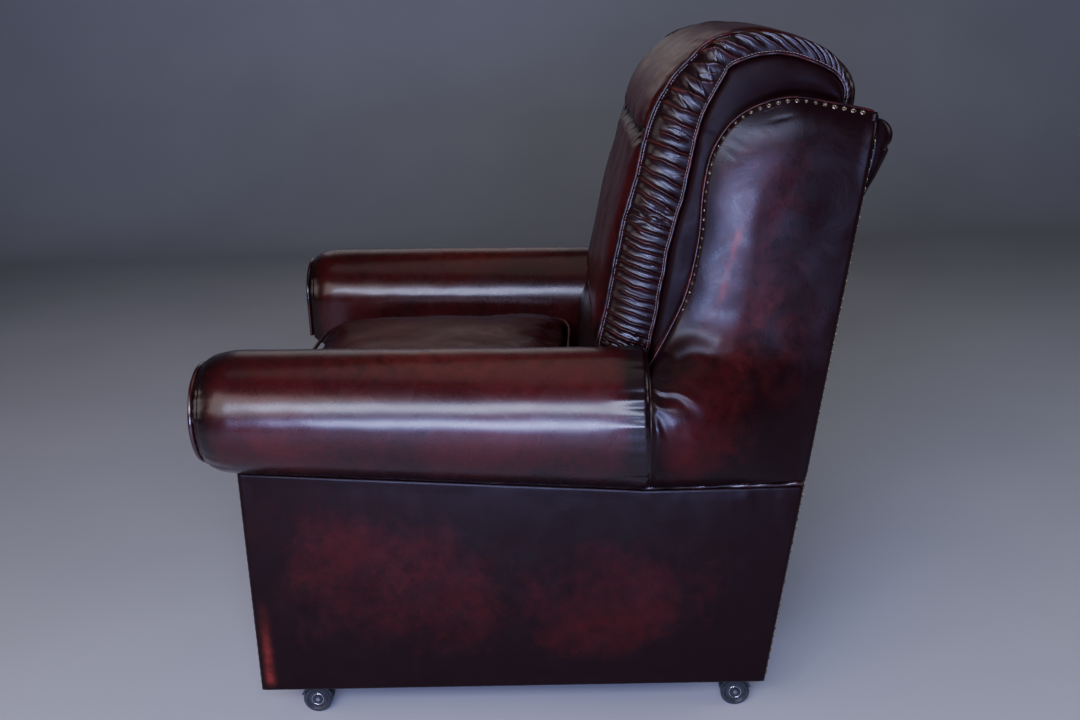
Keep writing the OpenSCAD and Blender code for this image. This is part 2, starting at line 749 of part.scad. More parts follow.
// The pad's face: the front piping line with its crown, and the pulled line under the head roll
function pad_face(x) =
    let (c = 1 - pow(abs(x) / pad_half_w, pad_crown_power))
    [for (i = [0 : pad_last]) let (t = along(pad_path, i), p = pad_path[i],
        out = pad_crown * c * (1 - crown_fade_share * i / pad_last)
            - pull_d * exp(-pow((p[1] - pull_z) / pull_d / 2, 2)) * (i < pad_last / 2 ? 1 : 0))
        p + out * [-t[1], t[0]]];
back_rise_share = 1 / 3;
// The line inside the pad at depth d behind its face; from the foot it rises at least a share as fast
function pad_inner(d) = let (inner = beside(pad_path, d))
    [for (i = [0 : pad_last]) i == 0 ? pad_path[0] + [d, 0]
        : [inner[i][0], max(inner[i][1], mix(pad_foot_z, pad_path[i][1], back_rise_share))]];
pad_stations = 8;
function pad_slice(x) =
    [for (p = concat(pad_face(x), reverse(pad_inner(pad_front_t)))) [x, p[0], p[1]]];
module pad_front() {
    color(leather)
        loft([for (k = [0 : pad_stations])
            pad_slice(mix(-pad_half_w, pad_half_w, k / pad_stations))], true);
}

pad_low_y = cushion_front_y + cushion_d + soft_gap;
core_stop = 8;
// The lower back panel carries the pad's face down between the arms to the seat deck
module pad_lower() {
    color(dark_leather) slab([
        [pad_low_y, deck_z], [pad_low_y + pad_front_t, deck_z], pad_inner(pad_front_t)[0], pad_path[0],
        [pad_low_y, deck_z + cushion_edge_t]
    ], -arm_in_x, arm_in_x);
}

module pad_core() {
    front = rail_face + web_t + 2 * rail_gap;
    face = pad_front_t + rail_gap;
    line = pad_inner(face);
    profile = concat(
        [for (i = [0 : pad_last - core_stop]) line[i]],
        [[back_y(top_rail_z) - front, top_rail_z], [back_y(deck_z) - front, deck_z],
            [pad_low_y + face, deck_z]]
    );
    color(foam) intersection() {
        slab(profile, -board_in_x, board_in_x);
        translate([0, overall_d, 0]) rotate([90, 0, 0]) linear_extrude(2 * overall_d) polygon([
            [-arm_in_x, 0], [arm_in_x, 0], [arm_in_x, arm_top_z], [pad_half_w, arm_top_z],
            [pad_half_w, pad_top_z], [-pad_half_w, pad_top_z],
            [-pad_half_w, arm_top_z], [-arm_in_x, arm_top_z]
        ]);
    }
}

// The border between the two pipings: a rounded band drawn up in pleats
band_steps = 5;
function border_ring(i, n) =
    let (t = i / n, j = min(floor(t * pad_last), pad_last - 1), f = t * pad_last - j,
        a = mix(pad_path[j], pad_path[j + 1], f), b = mix(rear_path[j], rear_path[j + 1], f),
        fold = i % 2 == 0 ? 0 : pleat_d)
    concat(
        [for (k = [0 : band_steps]) let (s = k / band_steps, p = mix(a, b, s))
            [pad_half_w + band_bulge * sqrt(1 - pow(1 - s, 2)) - fold * sin(180 * s), p[0], p[1]]],
        [[pad_half_w, b[0], b[1]]]
    );
module pleated_border(right) {
    n = 2 * pleats;
    color(leather) on_side(right) difference() {
        loft([for (i = [n : -1 : 0]) border_ring(i, n)]);
        arm_form();
    }
}

pad_seat = 0.6;
module pad_side(right) {
    color(dark_leather) on_side(right) slab(concat(
        [for (p = beside(rear_path, pad_seat)) [max(p[0], wing_foot_y), p[1]]],
        [[back_y(wing_foot_z) - rail_face, wing_foot_z]]
    ), pad_half_w, board_in_x);
}

// A path moved out of the pad by d, at half width x
function piping_path(p, d, x) = [for (i = [0 : len(p) - 1]) let (t = along(p, i))
    [x, p[i][0] - d * t[1], p[i][1] + d * t[0]]];
module pad_piping_front() {
    seat = piping_d / 2 * cos(45) + pad_seat;
    color(dark_leather) for (m = [0, 1]) mirror([m, 0, 0])
        cord(piping_path(pad_path, seat, pad_half_w + seat), piping_d, [1, 0, 0], 6);
}

module pad_piping_rear() {
    x = pad_half_w + band_bulge + piping_d / 2;
    color(dark_leather) for (m = [0, 1]) mirror([m, 0, 0]) difference() {
        cord(piping_path(rear_path, piping_d / 2, x), piping_d, [1, 0, 0], 6);
        arm_form();
    }
}

button_t = 9;
button_seat = 2.8;
module pad_buttons() {
    i = [for (k = [0 : pad_last / 2]) if (pad_path[k][1] >= pull_z) k][0];
    t = along(pad_path, i);
    a = atan2(t[0], t[1]);
    color(dark_leather) for (k = [0 : buttons - 1]) {
        x = pad_half_w * 2 * ((k + 1 / 2) / buttons - 1 / 2);
        face = pad_face(x)[i];
        translate([x, face[0], face[1]]) rotate([90 - a, 0, 0])
            translate([0, 0, button_seat]) intersection() {
                cylinder(h = button_t / 2, d = button_d);
                translate([0, 0, -button_d / 2]) sphere(d = button_d + button_t);
            }
    }
}

// Underside and casters

cover_t = 0.8;
module dust_cover() {
    color(cloth) difference() {
        translate([-board_in_x, rail_front_y + rail_t, base_clear - cover_t])
            cube([2 * board_in_x, base_rear_y - back_t - rail_front_y - 2 * rail_t, cover_t]);
        for (x = [-caster_x, caster_x], y = [caster_front_y, caster_rear_y])
            translate([x, y, base_clear - cover_t / 2])
                cube([socket_plate_w + cut, socket_plate_w + cut, 2 * cover_t], center = true);
    }
}

module caster_sockets() {
    color(steel) for (x = [-caster_x, caster_x], y = [caster_front_y, caster_rear_y])
        translate([x, y, 0]) difference() {
            union() {
                translate([0, 0, base_clear - socket_plate_t / 2])
                    cube([socket_plate_w, socket_plate_w, socket_plate_t], center = true);
                translate([0, 0, base_clear])
                    cylinder(h = stem_l + socket_wall, d = stem_d + 2 * socket_wall);
            }
            translate([0, 0, base_clear - cut - socket_plate_t])
                cylinder(h = stem_l + cut + socket_plate_t + soft_gap, d = stem_d + 2 * run_gap);
        }
}

axle_short = 1;
body_w = 9;
side_play = 0.5;
hood_t = 3;
collar_d = 15;
axle_z = wheel_d / 2;
collar_z = base_clear - socket_plate_t - side_play;
hood_r = wheel_d / 2 + side_play + hood_t;
hood_low_share = 0.2;
hood_low_z = axle_z + wheel_d * hood_low_share;
hood_w = body_w + 2 * wheel_w;
// A round bar of radius r and width w across the axle
module across(r, w) {
    translate([-w / 2, trail, axle_z]) rotate([0, 90, 0]) cylinder(h = w, r = r);
}
// The body stands between the wheels, hoods them at the top and carries the stem
module caster_body(x, y) {
    neck_z = wheel_d + side_play;
    color(plastic) translate([x, y, 0]) {
        difference() {
            union() {
                across(wheel_d / 2 - hood_t, body_w);
                translate([-body_w / 2, 0, axle_z]) cube([body_w, trail, wheel_d / 2]);
                translate([0, 0, neck_z]) cylinder(h = collar_z - neck_z, d = collar_d);
                intersection() {
                    difference() {
                        across(hood_r, hood_w);
                        across(wheel_d / 2 + side_play, hood_w + 2 * cut);
                    }
                    translate([-wheel_d, trail - wheel_d, hood_low_z])
                        cube([2 * wheel_d, 2 * wheel_d, wheel_d]);
                }
                translate([-body_w / 2, trail - hood_r / 2, axle_z])
                    cube([body_w, hood_r / 2, neck_z - axle_z + hood_t / 2]);
            }
            across(axle_d / 2, 2 * wheel_d);
        }
        translate([0, 0, collar_z - cut])
            cylinder(h = stem_l + base_clear - collar_z + cut, d = stem_d);
    }
}

module axle(x, y) {
    l = body_w + 2 * side_play + 2 * wheel_w - 2 * axle_short;
    color(steel) translate([x - l / 2, y + trail, axle_z]) rotate([0, 90, 0]) cylinder(h = l, d = axle_d);
}

// A pair of wheels, each with its rim, a dished face and a bored hub
wheel_rim = 5;
wheel_dish = 3;
module wheels(x, y) {
    r = wheel_d / 2;
    bore = axle_d / 2 + run_gap;
    face = wheel_w - wheel_dish;
    hub = wheel_w - wheel_dish / 2;
    color(plastic) for (m = [0, 1])
        translate([x, y + trail, axle_z]) mirror([m, 0, 0])
            translate([body_w / 2 + side_play, 0, 0]) rotate([0, 90, 0]) rotate_extrude() polygon([
                [bore, 0], [r - wheel_dish / 2, 0], [r, wheel_dish / 2], [r, face],
                [r - wheel_dish, wheel_w], [r - wheel_rim, wheel_w],
                [r - wheel_rim - wheel_dish, face], [axle_d, face], [axle_d, hub], [bore, hub]
            ]);
}

side_frame(false);  // side_frame_left
side_frame(true);  // side_frame_right
front_rail();
back_rail();
lumbar_rail();
top_rail();
corner_blocks();
seat_springs();
spring_clips();
back_webbing();
deck_cloth();
seat_cushion();
arm_roll(false);  // arm_roll_left
arm_roll(true);  // arm_roll_right
arm_facing(false);  // arm_facing_left
arm_facing(true);  // arm_facing_right
facing_piping(false);  // facing_piping_left
facing_piping(true);  // facing_piping_right
side_panel(false);  // side_panel_left
side_panel(true);  // side_panel_right
side_piping(false);  // side_piping_left
side_piping(true);  // side_piping_right
wing(false);  // wing_left
wing(true);  // wing_right
wing_rim(false);  // wing_rim_left
wing_rim(true);  // wing_rim_right
wing_nails();
rear_nails();
front_nails();
outside_back();
back_roll();
front_border();
pad_core();
pad_front();
pad_lower();
pleated_border(false);  // pleated_border_left
pleated_border(true);  // pleated_border_right
pad_side(false);  // pad_side_left
pad_side(true);  // pad_side_right
pad_piping_front();
pad_piping_rear();
pad_buttons();
dust_cover();
caster_sockets();
caster_body(caster_x, caster_front_y);  // caster_body_fl
caster_body(-caster_x, caster_front_y);  // caster_body_fr
caster_body(caster_x, caster_rear_y);  // caster_body_rl
caster_body(-caster_x, caster_rear_y);  // caster_body_rr
wheels(caster_x, caster_front_y);  // wheels_fl
wheels(-caster_x, caster_front_y);  // wheels_fr
wheels(caster_x, caster_rear_y);  // wheels_rl
wheels(-caster_x, caster_rear_y);  // wheels_rr
axle(caster_x, caster_front_y);  // axle_fl
axle(-caster_x, caster_front_y);  // axle_fr
axle(caster_x, caster_rear_y);  // axle_rl
axle(-caster_x, caster_rear_y);  // axle_rr
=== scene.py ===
"""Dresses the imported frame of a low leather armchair: hides, padding, pleats, piping and nails."""

import math

import bpy
import numpy as np
from mathutils import Matrix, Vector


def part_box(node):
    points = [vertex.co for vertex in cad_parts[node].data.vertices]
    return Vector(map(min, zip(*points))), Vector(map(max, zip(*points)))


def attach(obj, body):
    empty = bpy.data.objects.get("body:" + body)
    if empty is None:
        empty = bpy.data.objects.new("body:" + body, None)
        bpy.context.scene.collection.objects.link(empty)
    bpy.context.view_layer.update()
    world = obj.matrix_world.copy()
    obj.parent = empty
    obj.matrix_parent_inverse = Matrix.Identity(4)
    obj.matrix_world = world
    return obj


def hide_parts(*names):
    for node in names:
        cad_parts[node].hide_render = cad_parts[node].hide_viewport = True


bl_info = {
    "name": "Leather armchair dressing",
    "version": (1, 0, 0),
    "blender": (4, 5, 0),
    "location": "View3D > Sidebar > Armchair",
    "description": "Builds the leather, padding, pleats, piping, nails and stage of a low armchair",
    "category": "Object",
}

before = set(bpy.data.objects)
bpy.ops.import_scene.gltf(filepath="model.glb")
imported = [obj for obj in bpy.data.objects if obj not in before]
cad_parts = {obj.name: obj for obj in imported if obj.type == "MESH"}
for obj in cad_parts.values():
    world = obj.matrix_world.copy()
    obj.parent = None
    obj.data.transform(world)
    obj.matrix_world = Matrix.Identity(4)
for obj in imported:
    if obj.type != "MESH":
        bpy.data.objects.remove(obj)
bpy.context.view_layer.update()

SIDES = (("left", False), ("right", True))
RAKE_DEGREES = 9.3    # lean of the outside back
EDGE_LAP = 0.0095     # width over which the side hides turn in behind the outside back
SIDE_GAP = 0.0052     # how far the front and rear hides end inside the side panels' faces
CLOTH_VOXEL = 0.0065  # cell size of the meshes that are blown up as cloth
BUTTONS = 5
WING_NAIL, EDGE_NAIL = 0.0080, 0.0095  # diameters of the nails' heads
# Short scores in the wing's hide: depth place, height, half length and lean of each.
WING_SCORES = ((0.272, 0.862, 0.014, 0.5), (0.328, 0.892, 0.014, -0.2), (0.266, 0.846, 0.010, 0.7))


# Curves and profiles

def smooth_line(points, steps):
    """A curve through the points: each stretch is the cubic that keeps the slope between its neighbours."""
    p = np.asarray(points, float)
    a, b, c, d = np.vstack([p[:1], p[:-2]]), p[:-1], p[1:], np.vstack([p[2:], p[-1:]])
    t = (np.arange(steps) / steps)[None, :, None]
    a, b, c, d = (q[:, None, :] for q in (a, b, c, d))
    body = (2 * b + (c - a) * t + (2 * a - 5 * b + 4 * c - d) * t**2
            + (3 * b - a - 3 * c + d) * t**3) / 2
    return np.vstack([body.reshape(-1, p.shape[1]), p[-1:]])


def run_of(path):
    """Length along a path up to each of its points."""
    return np.concatenate([[0], np.cumsum(np.linalg.norm(np.diff(path, axis=0), axis=1))])


def at_runs(path, runs):
    """Points of a path at the given lengths along it."""
    own = run_of(path)
    return np.stack([np.interp(runs, own, path[:, k]) for k in range(path.shape[1])], 1)


def evenly(path, count):
    """The path as count points that are equally far apart."""
    return at_runs(path, np.linspace(0, run_of(path)[-1], count))


def outside(path):
    """Unit normals of a flat path of (y, z), on its left hand."""
    t = np.gradient(path, axis=0)
    t /= np.linalg.norm(t, axis=1)[:, None]
    return np.stack([-t[:, 1], t[:, 0]], 1)


def ease(t):
    """0 to 1 with level ends: 3t squared less 2t cubed."""
    t = np.clip(t, 0, 1)
    return t * t * (3 - 2 * t)


def bump_at(value, centre, width):
    """A bell of height 1 round centre: e to the minus of the squared distance in widths."""
    return np.exp(-(((value - centre) / width) ** 2))


def fade(distance, size):
    """1 at distance 0 and less farther on: e to the minus of the distance in sizes."""
    return np.exp(-distance / size)


def crowded(count):
    """Shares from 0 to 1, close together at both ends: half of 1 less the cosine of a half turn."""
    return (1 - np.cos(np.linspace(0, math.pi, count))) / 2


def ripple(points, size, seed, waves=14):
    """A smooth random height from -1 to 1: the mean of cosines with seeded directions and phases."""
    rng = np.random.default_rng(seed)
    k = rng.normal(size=(waves, points.shape[-1]))
    k *= (2 * math.pi / size / np.linalg.norm(k, axis=1) * rng.uniform(0.6, 1.5, waves))[:, None]
    phase = rng.uniform(0, 2 * math.pi, waves)
    return np.cos(points @ k.T + phase).sum(-1) / math.sqrt(waves) * 0.8


# Meshes

def grid_quads(rows, cols, close_rows=False, close_cols=False, first=0):
    """Four corners of each cell of a grid of points, wrapped round where it closes."""
    i, j = np.meshgrid(np.arange(rows if close_rows else rows - 1),
                       np.arange(cols if close_cols else cols - 1), indexing="ij")
    k, m = (i + 1) % rows, (j + 1) % cols
    return first + np.stack([i * cols + j, k * cols + j, k * cols + m, i * cols + m], -1).reshape(-1, 4)


def sealed(points, faces):
    """The faces, all turned over if the solid that they close has a negative volume."""
    a, b, c, d = (points[faces[:, k]] for k in range(4))
    volume = (np.cross(a, b) * c).sum() + (np.cross(a, c) * d).sum()
    return faces[:, ::-1] if volume < 0 else faces


def shell(front, back):
    """A closed solid between two sheets of points with the same rows and columns."""
    rows, cols, _ = front.shape
    points = np.vstack([front.reshape(-1, 3), back.reshape(-1, 3)])
    n = rows * cols
    index = np.arange(n).reshape(rows, cols)
    rim = np.concatenate([index[0, :-1], index[:-1, -1], index[-1, :0:-1], index[:0:-1, 0]])
    after = np.roll(rim, -1)
    walls = np.stack([rim, after, after + n, rim + n], 1)
    faces = np.vstack([grid_quads(rows, cols), grid_quads(rows, cols, first=n)[:, ::-1], walls])
    return points, sealed(points, faces)


def sided_shell(front, back, right):
    """A closed solid between two sheets of the left side, or its mirror on the right."""
    return shell(mirrored(front), mirrored(back)) if right else shell(front, back)


def sheet_fields(seams, rub=0.0):
    """Values of a shell: those given for its front sheet, and the darkest unworn tone for the one behind."""
    none = np.zeros(seams.size)
    return {"seam": np.concatenate([seams.ravel(), none + 1]),
            "rub": np.concatenate([np.clip(rub + 0 * seams, 0, 1).ravel(), none])}


def cord_fields(points, seam, rub, seed):
    """Uneven values along a cord, each given as its middle, its swing and the size of its ripples."""
    return {"seam": seam[0] + seam[1] * ripple(points, seam[2], seed),
            "rub": rub[0] + rub[1] * ripple(points, rub[2], seed + 1)}


def ringed(rings):
    """A closed solid through rings of points; each end closes on its own middle point."""
    count, n, _ = rings.shape
    middles = rings[[0, -1]].mean(axis=1)
    points = np.vstack([rings.reshape(-1, 3), middles])
    walls = grid_quads(count, n, close_cols=True)
    j = np.arange(n)
    last = (count - 1) * n
    a = np.full(n, count * n)
    low = np.stack([a, j, (j + 1) % n, a], 1)
    high = np.stack([a + 1, last + (j + 1) % n, last + j, a + 1], 1)
    faces = sealed(points, np.vstack([walls, low, high]))
    return points, faces


def tube(path, radius, ref, sides=10, closed=False):
    """A round cord: circles of the given radius stand square to the path, with rounded ends if it is open."""
    path = np.asarray(path, float)
    t = (np.roll(path, -1, 0) - np.roll(path, 1, 0)) if closed else np.gradient(path, axis=0)
    t /= np.linalg.norm(t, axis=1)[:, None]
    u = np.cross(t, ref)
    u /= np.linalg.norm(u, axis=1)[:, None]
    v = np.cross(u, t)
    r = np.broadcast_to(np.asarray(radius, float), len(path)).copy()
    if not closed:
        r[[0, -1]] *= 0.55
    a = np.linspace(0, 2 * math.pi, sides, endpoint=False)
    rings = path[:, None] + r[:, None, None] * (np.cos(a)[:, None] * u[:, None] + np.sin(a)[:, None] * v[:, None])
    if closed:
        points = rings.reshape(-1, 3)
        return points, sealed(points, grid_quads(len(path), sides, True, True))
    return ringed(rings)


def mirrored(points):
    """The points on the other side of the middle plane."""
    return points * np.array([-1, 1, 1])


def on_side(points, faces, right):
    """A solid of the left side, or its mirror on the right, with its faces still turned outwards."""
    return (mirrored(points), faces[:, ::-1]) if right else (points, faces)


def both_sides(points, faces):
    """A solid of the left side and its mirror as one."""
    return joined([(points, faces), on_side(points, faces, True)])


def joined(parts):
    """Several (points, faces) as one."""
    points, faces, first = [], [], 0
    for p, f in parts:
        points.append(p)
        faces.append(f + first)
        first += len(p)
    return np.vstack(points), np.vstack(faces)


def add_mesh(name, points, faces, fields=None):
    """A smooth-shaded mesh object from points, faces of four corners and named values per point.
    A face that names a corner twice becomes a triangle."""
    mesh = bpy.data.meshes.new(name)
    tri = (faces[:, 0] == faces[:, 3]) | (faces[:, 1] == faces[:, 2]) | (faces[:, 0] == faces[:, 1])
    if tri.any():
        three = faces[tri]
        doubled = three[:, 0] == three[:, 1]
        three = np.where(doubled[:, None], three[:, 1:], three[:, :3])
        mesh.from_pydata(points.tolist(), [], faces[~tri].tolist() + three.tolist())
    else:
        mesh.from_pydata(points.tolist(), [], faces.tolist())
    mesh.polygons.foreach_set("use_smooth", np.ones(len(mesh.polygons), bool))
    set_fields(mesh, fields or {})
    mesh.update()
    obj = bpy.data.objects.new(name, mesh)
    bpy.context.scene.collection.objects.link(obj)
    return obj


def set_fields(mesh, fields):
    """Writes named values per point into the mesh, for the materials to read."""
    for key, values in fields.items():
        layer = mesh.attributes.get(key) or mesh.attributes.new(key, "FLOAT", "POINT")
        layer.data.foreach_set("value", np.asarray(values, np.float32).ravel())


def points_of(mesh):
    """The mesh's points as an array."""
    co = np.empty(len(mesh.vertices) * 3, np.float32)
    mesh.vertices.foreach_get("co", co)
    return co.reshape(-1, 3).astype(float)


def normals_of(mesh):
    """The mesh's point normals as an array."""
    co = np.empty(len(mesh.vertices) * 3, np.float32)
    mesh.vertex_normals.foreach_get("vector", co)
    return co.reshape(-1, 3).astype(float)


def move_points(obj, co):
    """Writes the mesh's points."""
    obj.data.vertices.foreach_set("co", co.astype(np.float32).ravel())
    obj.data.update()


def finish_piece(obj, material, nodes, body="chair"):
    """Gives a new piece its material, its body and the CAD nodes that it stands for."""
    obj.data.materials.clear()
    obj.data.materials.append(material)
    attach(obj, body)
    if nodes:
        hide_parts(*nodes)


def swell(obj, voxel, pressure, cap, frames=20):
    """Blows a padded form up as cloth: it is remeshed, filled with air, and no point moves farther than cap."""
    view = bpy.context.view_layer
    view.objects.active = obj
    remesh = obj.modifiers.new("even_mesh", "REMESH")
    remesh.mode, remesh.voxel_size = "VOXEL", voxel
    bpy.ops.object.modifier_apply(modifier=remesh.name)
    rest = points_of(obj.data)
    cloth = obj.modifiers.new("air", "CLOTH")
    cloth.settings.quality = 5
    cloth.settings.mass = 0.35
    cloth.settings.tension_stiffness = cloth.settings.compression_stiffness = 18
    cloth.settings.shear_stiffness = 10
    cloth.settings.bending_stiffness = 1.2
    cloth.settings.use_pressure = True
    cloth.settings.uniform_pressure_force = pressure
    cloth.settings.effector_weights.gravity = 0
    cloth.point_cache.frame_start, cloth.point_cache.frame_end = 1, frames
    scene = bpy.context.scene
    for number in range(1, frames + 1):
        scene.frame_set(number)
    shaped = points_of(obj.evaluated_get(bpy.context.evaluated_depsgraph_get()).data)
    obj.modifiers.remove(cloth)
    scene.frame_set(1)
    move = shaped - rest
    far = np.linalg.norm(move, axis=1)[:, None]
    move *= np.minimum(1, cap / np.maximum(far, 1e-9))
    move_points(obj, rest + move)


def refine(obj):
    """One even subdivision, applied, so that seams can be worked into the finer mesh."""
    bpy.context.view_layer.objects.active = obj
    step = obj.modifiers.new("finer", "SUBSURF")
    step.levels = step.render_levels = 1
    bpy.ops.object.modifier_apply(modifier=step.name)
    obj.data.polygons.foreach_set("use_smooth", np.ones(len(obj.data.polygons), bool))


def push(obj, height):
    """Moves each point of a mesh along its normal by its own height."""
    move_points(obj, points_of(obj.data) + normals_of(obj.data) * np.asarray(height)[:, None])


# Settings

def length(label, text, value):
    """A length property in metres."""
    return bpy.props.FloatProperty(name=label, description=text, default=value, unit="LENGTH", precision=4)


def colour(label, text, value):
    """A colour property."""
    return bpy.props.FloatVectorProperty(name=label, description=text, default=value, size=3,
                                         subtype="COLOR", min=0, max=1)


def factor(label, text, value, most=1.0):
    """A plain number property."""
    return bpy.props.FloatProperty(name=label, description=text, default=value, min=0, max=most)


def low(node):
    """The low corner of a CAD node's box."""
    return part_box(node)[0]


def high(node):
    """The high corner of a CAD node's box."""
    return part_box(node)[1]


class ArmchairShape(bpy.types.PropertyGroup):
    """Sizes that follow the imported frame."""

    rake: factor("Lean of the back", "Rearward run of the outside back for each metre of height",
                 math.tan(math.radians(RAKE_DEGREES)))
    base_clear: length("Base height", "Height of the base above the floor", low("outside_back").z)
    base_half: length("Half width of the base", "From the middle to the side panels", high("side_panel_left").x)
    base_front: length("Base front", "Depth place of the base's front face", low("front_border").y)
    base_depth: length("Base depth", "Depth of the base along its bottom edge", 0.755)
    frame_out: length("Frame outside", "Outer face of the side frames", high("side_frame_left").x)
    frame_in: length("Frame inside", "Inner face of the side frames", low("side_frame_left").x)
    seam_front: length("Front seam height", "Height of the seam under the arm at the front", 0.428)
    seam_rear: length("Rear seam height", "Height of that seam from the wing back", 0.388)
    arm_front: length("Arm front", "Depth place of the facing's front", low("arm_facing_left").y)
    facing_seat: length("Facing seat", "Depth place where the facing meets the roll", high("arm_facing_left").y)
    arm_in: length("Arm inside", "Inner face of the arm", low("arm_roll_left").x)
    arm_out: length("Arm outside", "Outermost line of the roll", high("arm_roll_left").x)
    arm_top: length("Arm top", "Top of the arm at the front", 0.597)
    arm_fall: length("Arm fall", "Fall of the arm's top from front to wing", 0.013)
    nose_depth: length("Nose depth", "Depth of the rounding at the roll's front", 0.054)
    nose_inset: length("Nose inset", "How far that rounding draws the roll in", 0.022)
    deck: length("Deck height", "Height of the seat deck", high("deck_cloth").z)
    wing_foot_y: length("Wing seam", "Depth place of the seam between arm and wing", low("wing_rim_left").y)
    wing_top: length("Wing top", "Height of the wing's crown", high("wing_rim_left").z)
    wing_rise: length("Wing rise", "Rise of the wing's rim", 0.364)
    wing_run: length("Wing run", "Run of the wing's rim", 0.307)
    shell_half: length("Half width over the wings", "Outer face of the wings", 0.394)
    rim_draw: length("Rim draw", "How far the wing is drawn in at its rim", 0.016)
    pad_half: length("Half width of the pad", "Place of the front piping", high("pad_front").x)
    pad_top: length("Pad top", "Height of the front piping's crown", 0.998)
    pad_rise: length("Pad rise", "Rise of the front piping", 0.430)
    pad_run: length("Pad run", "Run of the front piping", 0.348)
    pad_lead: length("Pad lead", "How far the pad's foot stands in front of the wing's", 0.068)
    band: length("Border width", "Width of the pleated border", 0.070)
    bulge: length("Border bulge", "How far the border stands out past the front piping", 0.026)
    pull_height: length("Pulled line", "Height of the pulled line under the head roll", 0.866)
    piping: length("Piping", "Diameter of the piping", 0.007)
    nail_pitch: length("Nail pitch", "Distance from one nail to the next", 0.0125)


class ArmchairFinish(bpy.types.PropertyGroup):
    """Colours and gloss of the hides and metal."""

    # The burnished tone is also the colour of the painted shade under the rolls, in creases and in recesses.
    deep: colour("Burnished tone", "Near-black tone along seams and edges", (0.0080, 0.0018, 0.0022))
    oxblood: colour("Oxblood tone", "Red that shows through in the middle of a panel", (0.085, 0.0062, 0.0056))
    worn: colour("Rubbed tone", "Brighter red where the finish is rubbed", (0.200, 0.026, 0.016))
    brass: colour("Antique brass", "Colour of the nails", (0.62, 0.52, 0.38))
    gloss: factor("Hide roughness", "Roughness of the finished leather", 0.28)


def shape():
    """The sizes in use."""
    return bpy.context.scene.armchair_shape


def finish():
    """The colours and gloss in use."""
    return bpy.context.scene.armchair_finish


# Lines that several pieces share

RIM_SHARES = np.array([[0, 0], [0.10, 0.15], [0.18, 0.30], [0.235, 0.50], [0.255, 0.68], [0.30, 0.83],
                       [0.41, 0.945], [0.60, 1], [0.80, 0.975], [1, 0.935]])
PAD_SHARES = np.array([[0, 0], [0.045, 0.15], [0.085, 0.30], [0.125, 0.44], [0.175, 0.57], [0.205, 0.67],
                       [0.24, 0.76], [0.30, 0.85], [0.375, 0.92], [0.475, 0.985], [0.62, 1], [0.80, 0.97],
                       [0.94, 0.91], [1.005, 0.84], [1, 0.757]])
BAND_SHARES = [1, 0.98, 0.95, 0.95, 0.92, 0.80, 0.56, 0.30, 0.23, 0.23]
# By length along the front piping: how far a pleat slides on by the rear piping, and how far apart pleats are.
PLEAT_SLIDE = ([0, 0.10, 0.185, 0.215, 0.26, 0.31, 0.37, 0.43, 0.50, 0.58, 0.70],
               [-0.010, -0.010, -0.012, -0.016, -0.016, -0.006, 0.008, 0.028, 0.056, 0.078, 0.064])
PLEAT_PITCH = ([0, 0.04, 0.16, 0.22, 0.31, 0.38, 0.46, 0.56, 0.70],
               [0.0100, 0.0120, 0.0140, 0.0155, 0.0180, 0.0210, 0.0185, 0.0135, 0.0130])


def back_y(z):
    """Depth place of the outside back's face at height z."""
    s = shape()
    return s.base_front + s.base_depth + s.rake * (z - s.base_clear)


def seam_z(y):
    """Height of the seam under the arm at depth y."""
    s = shape()
    t = np.clip((y - s.base_front) / (s.wing_foot_y - s.base_front), 0, 1)
    return s.seam_front + (s.seam_rear - s.seam_front) * t


def arm_top(y):
    """Height of the arm's top at depth y."""
    s = shape()
    return s.arm_top - s.arm_fall * (y - s.arm_front) / (s.wing_foot_y - s.arm_front)


def roll_low(y):
    """Height of the roll's lowest line at depth y."""
    return seam_z(np.maximum(y, shape().base_front)) - shape().piping


def rim_line(count=240):
    """The wing's rim from the arm seam to the rear, as points (y, z)."""
    s = shape()
    foot = np.array([s.wing_foot_y, s.wing_top - s.wing_rise])
    return evenly(smooth_line(foot + RIM_SHARES * [s.wing_run, s.wing_rise], 12), count)


def pad_line(count=400):
    """The front piping of the back pad as points (y, z), from the arm up and over the top."""
    s = shape()
    foot = np.array([s.wing_foot_y - s.pad_lead, s.pad_top - s.pad_rise])
    return evenly(smooth_line(foot + PAD_SHARES * [s.pad_run, s.pad_rise], 12), count)


def rear_line(front):
    """The rear piping: the front one moved inwards by the border's width there."""
    share = np.linspace(0, 1, len(front))
    width = shape().band * np.interp(share, np.linspace(0, 1, len(BAND_SHARES)), BAND_SHARES)
    return front - outside(front) * width[:, None]


# Materials

def set_inputs(made, values):
    """Sets the unlinked values of a node."""
    for key, value in values.items():
        made.inputs[key].default_value = value


def node(tree, kind, place, inputs=None, **settings):
    """One shader node with its settings and unlinked values."""
    made = tree.nodes.new(kind)
    made.location = place
    for key, value in settings.items():
        setattr(made, key, value)
    set_inputs(made, inputs or {})
    return made


def new_material(name):
    """A material with its node tree, its shader, and the place of each point on the object."""
    material = bpy.data.materials.new(name)
    material.use_nodes = True
    tree = material.node_tree
    place = node(tree, "ShaderNodeTexCoord", (-1200, 0)).outputs["Object"]
    return material, tree, tree.nodes["Principled BSDF"], place


def new_group(name, inputs, outputs):
    """An empty node group with named sockets: inputs are (name, type, default)."""
    group = bpy.data.node_groups.new(name, "ShaderNodeTree")
    for label, kind, default in inputs:
        socket = group.interface.new_socket(name=label, in_out="INPUT", socket_type="NodeSocket" + kind)
        if default is not None:
            socket.default_value = default
    for label, kind in outputs:
        group.interface.new_socket(name=label, in_out="OUTPUT", socket_type="NodeSocket" + kind)
    return group, node(group, "NodeGroupInput", (-900, 0)), node(group, "NodeGroupOutput", (900, 0))


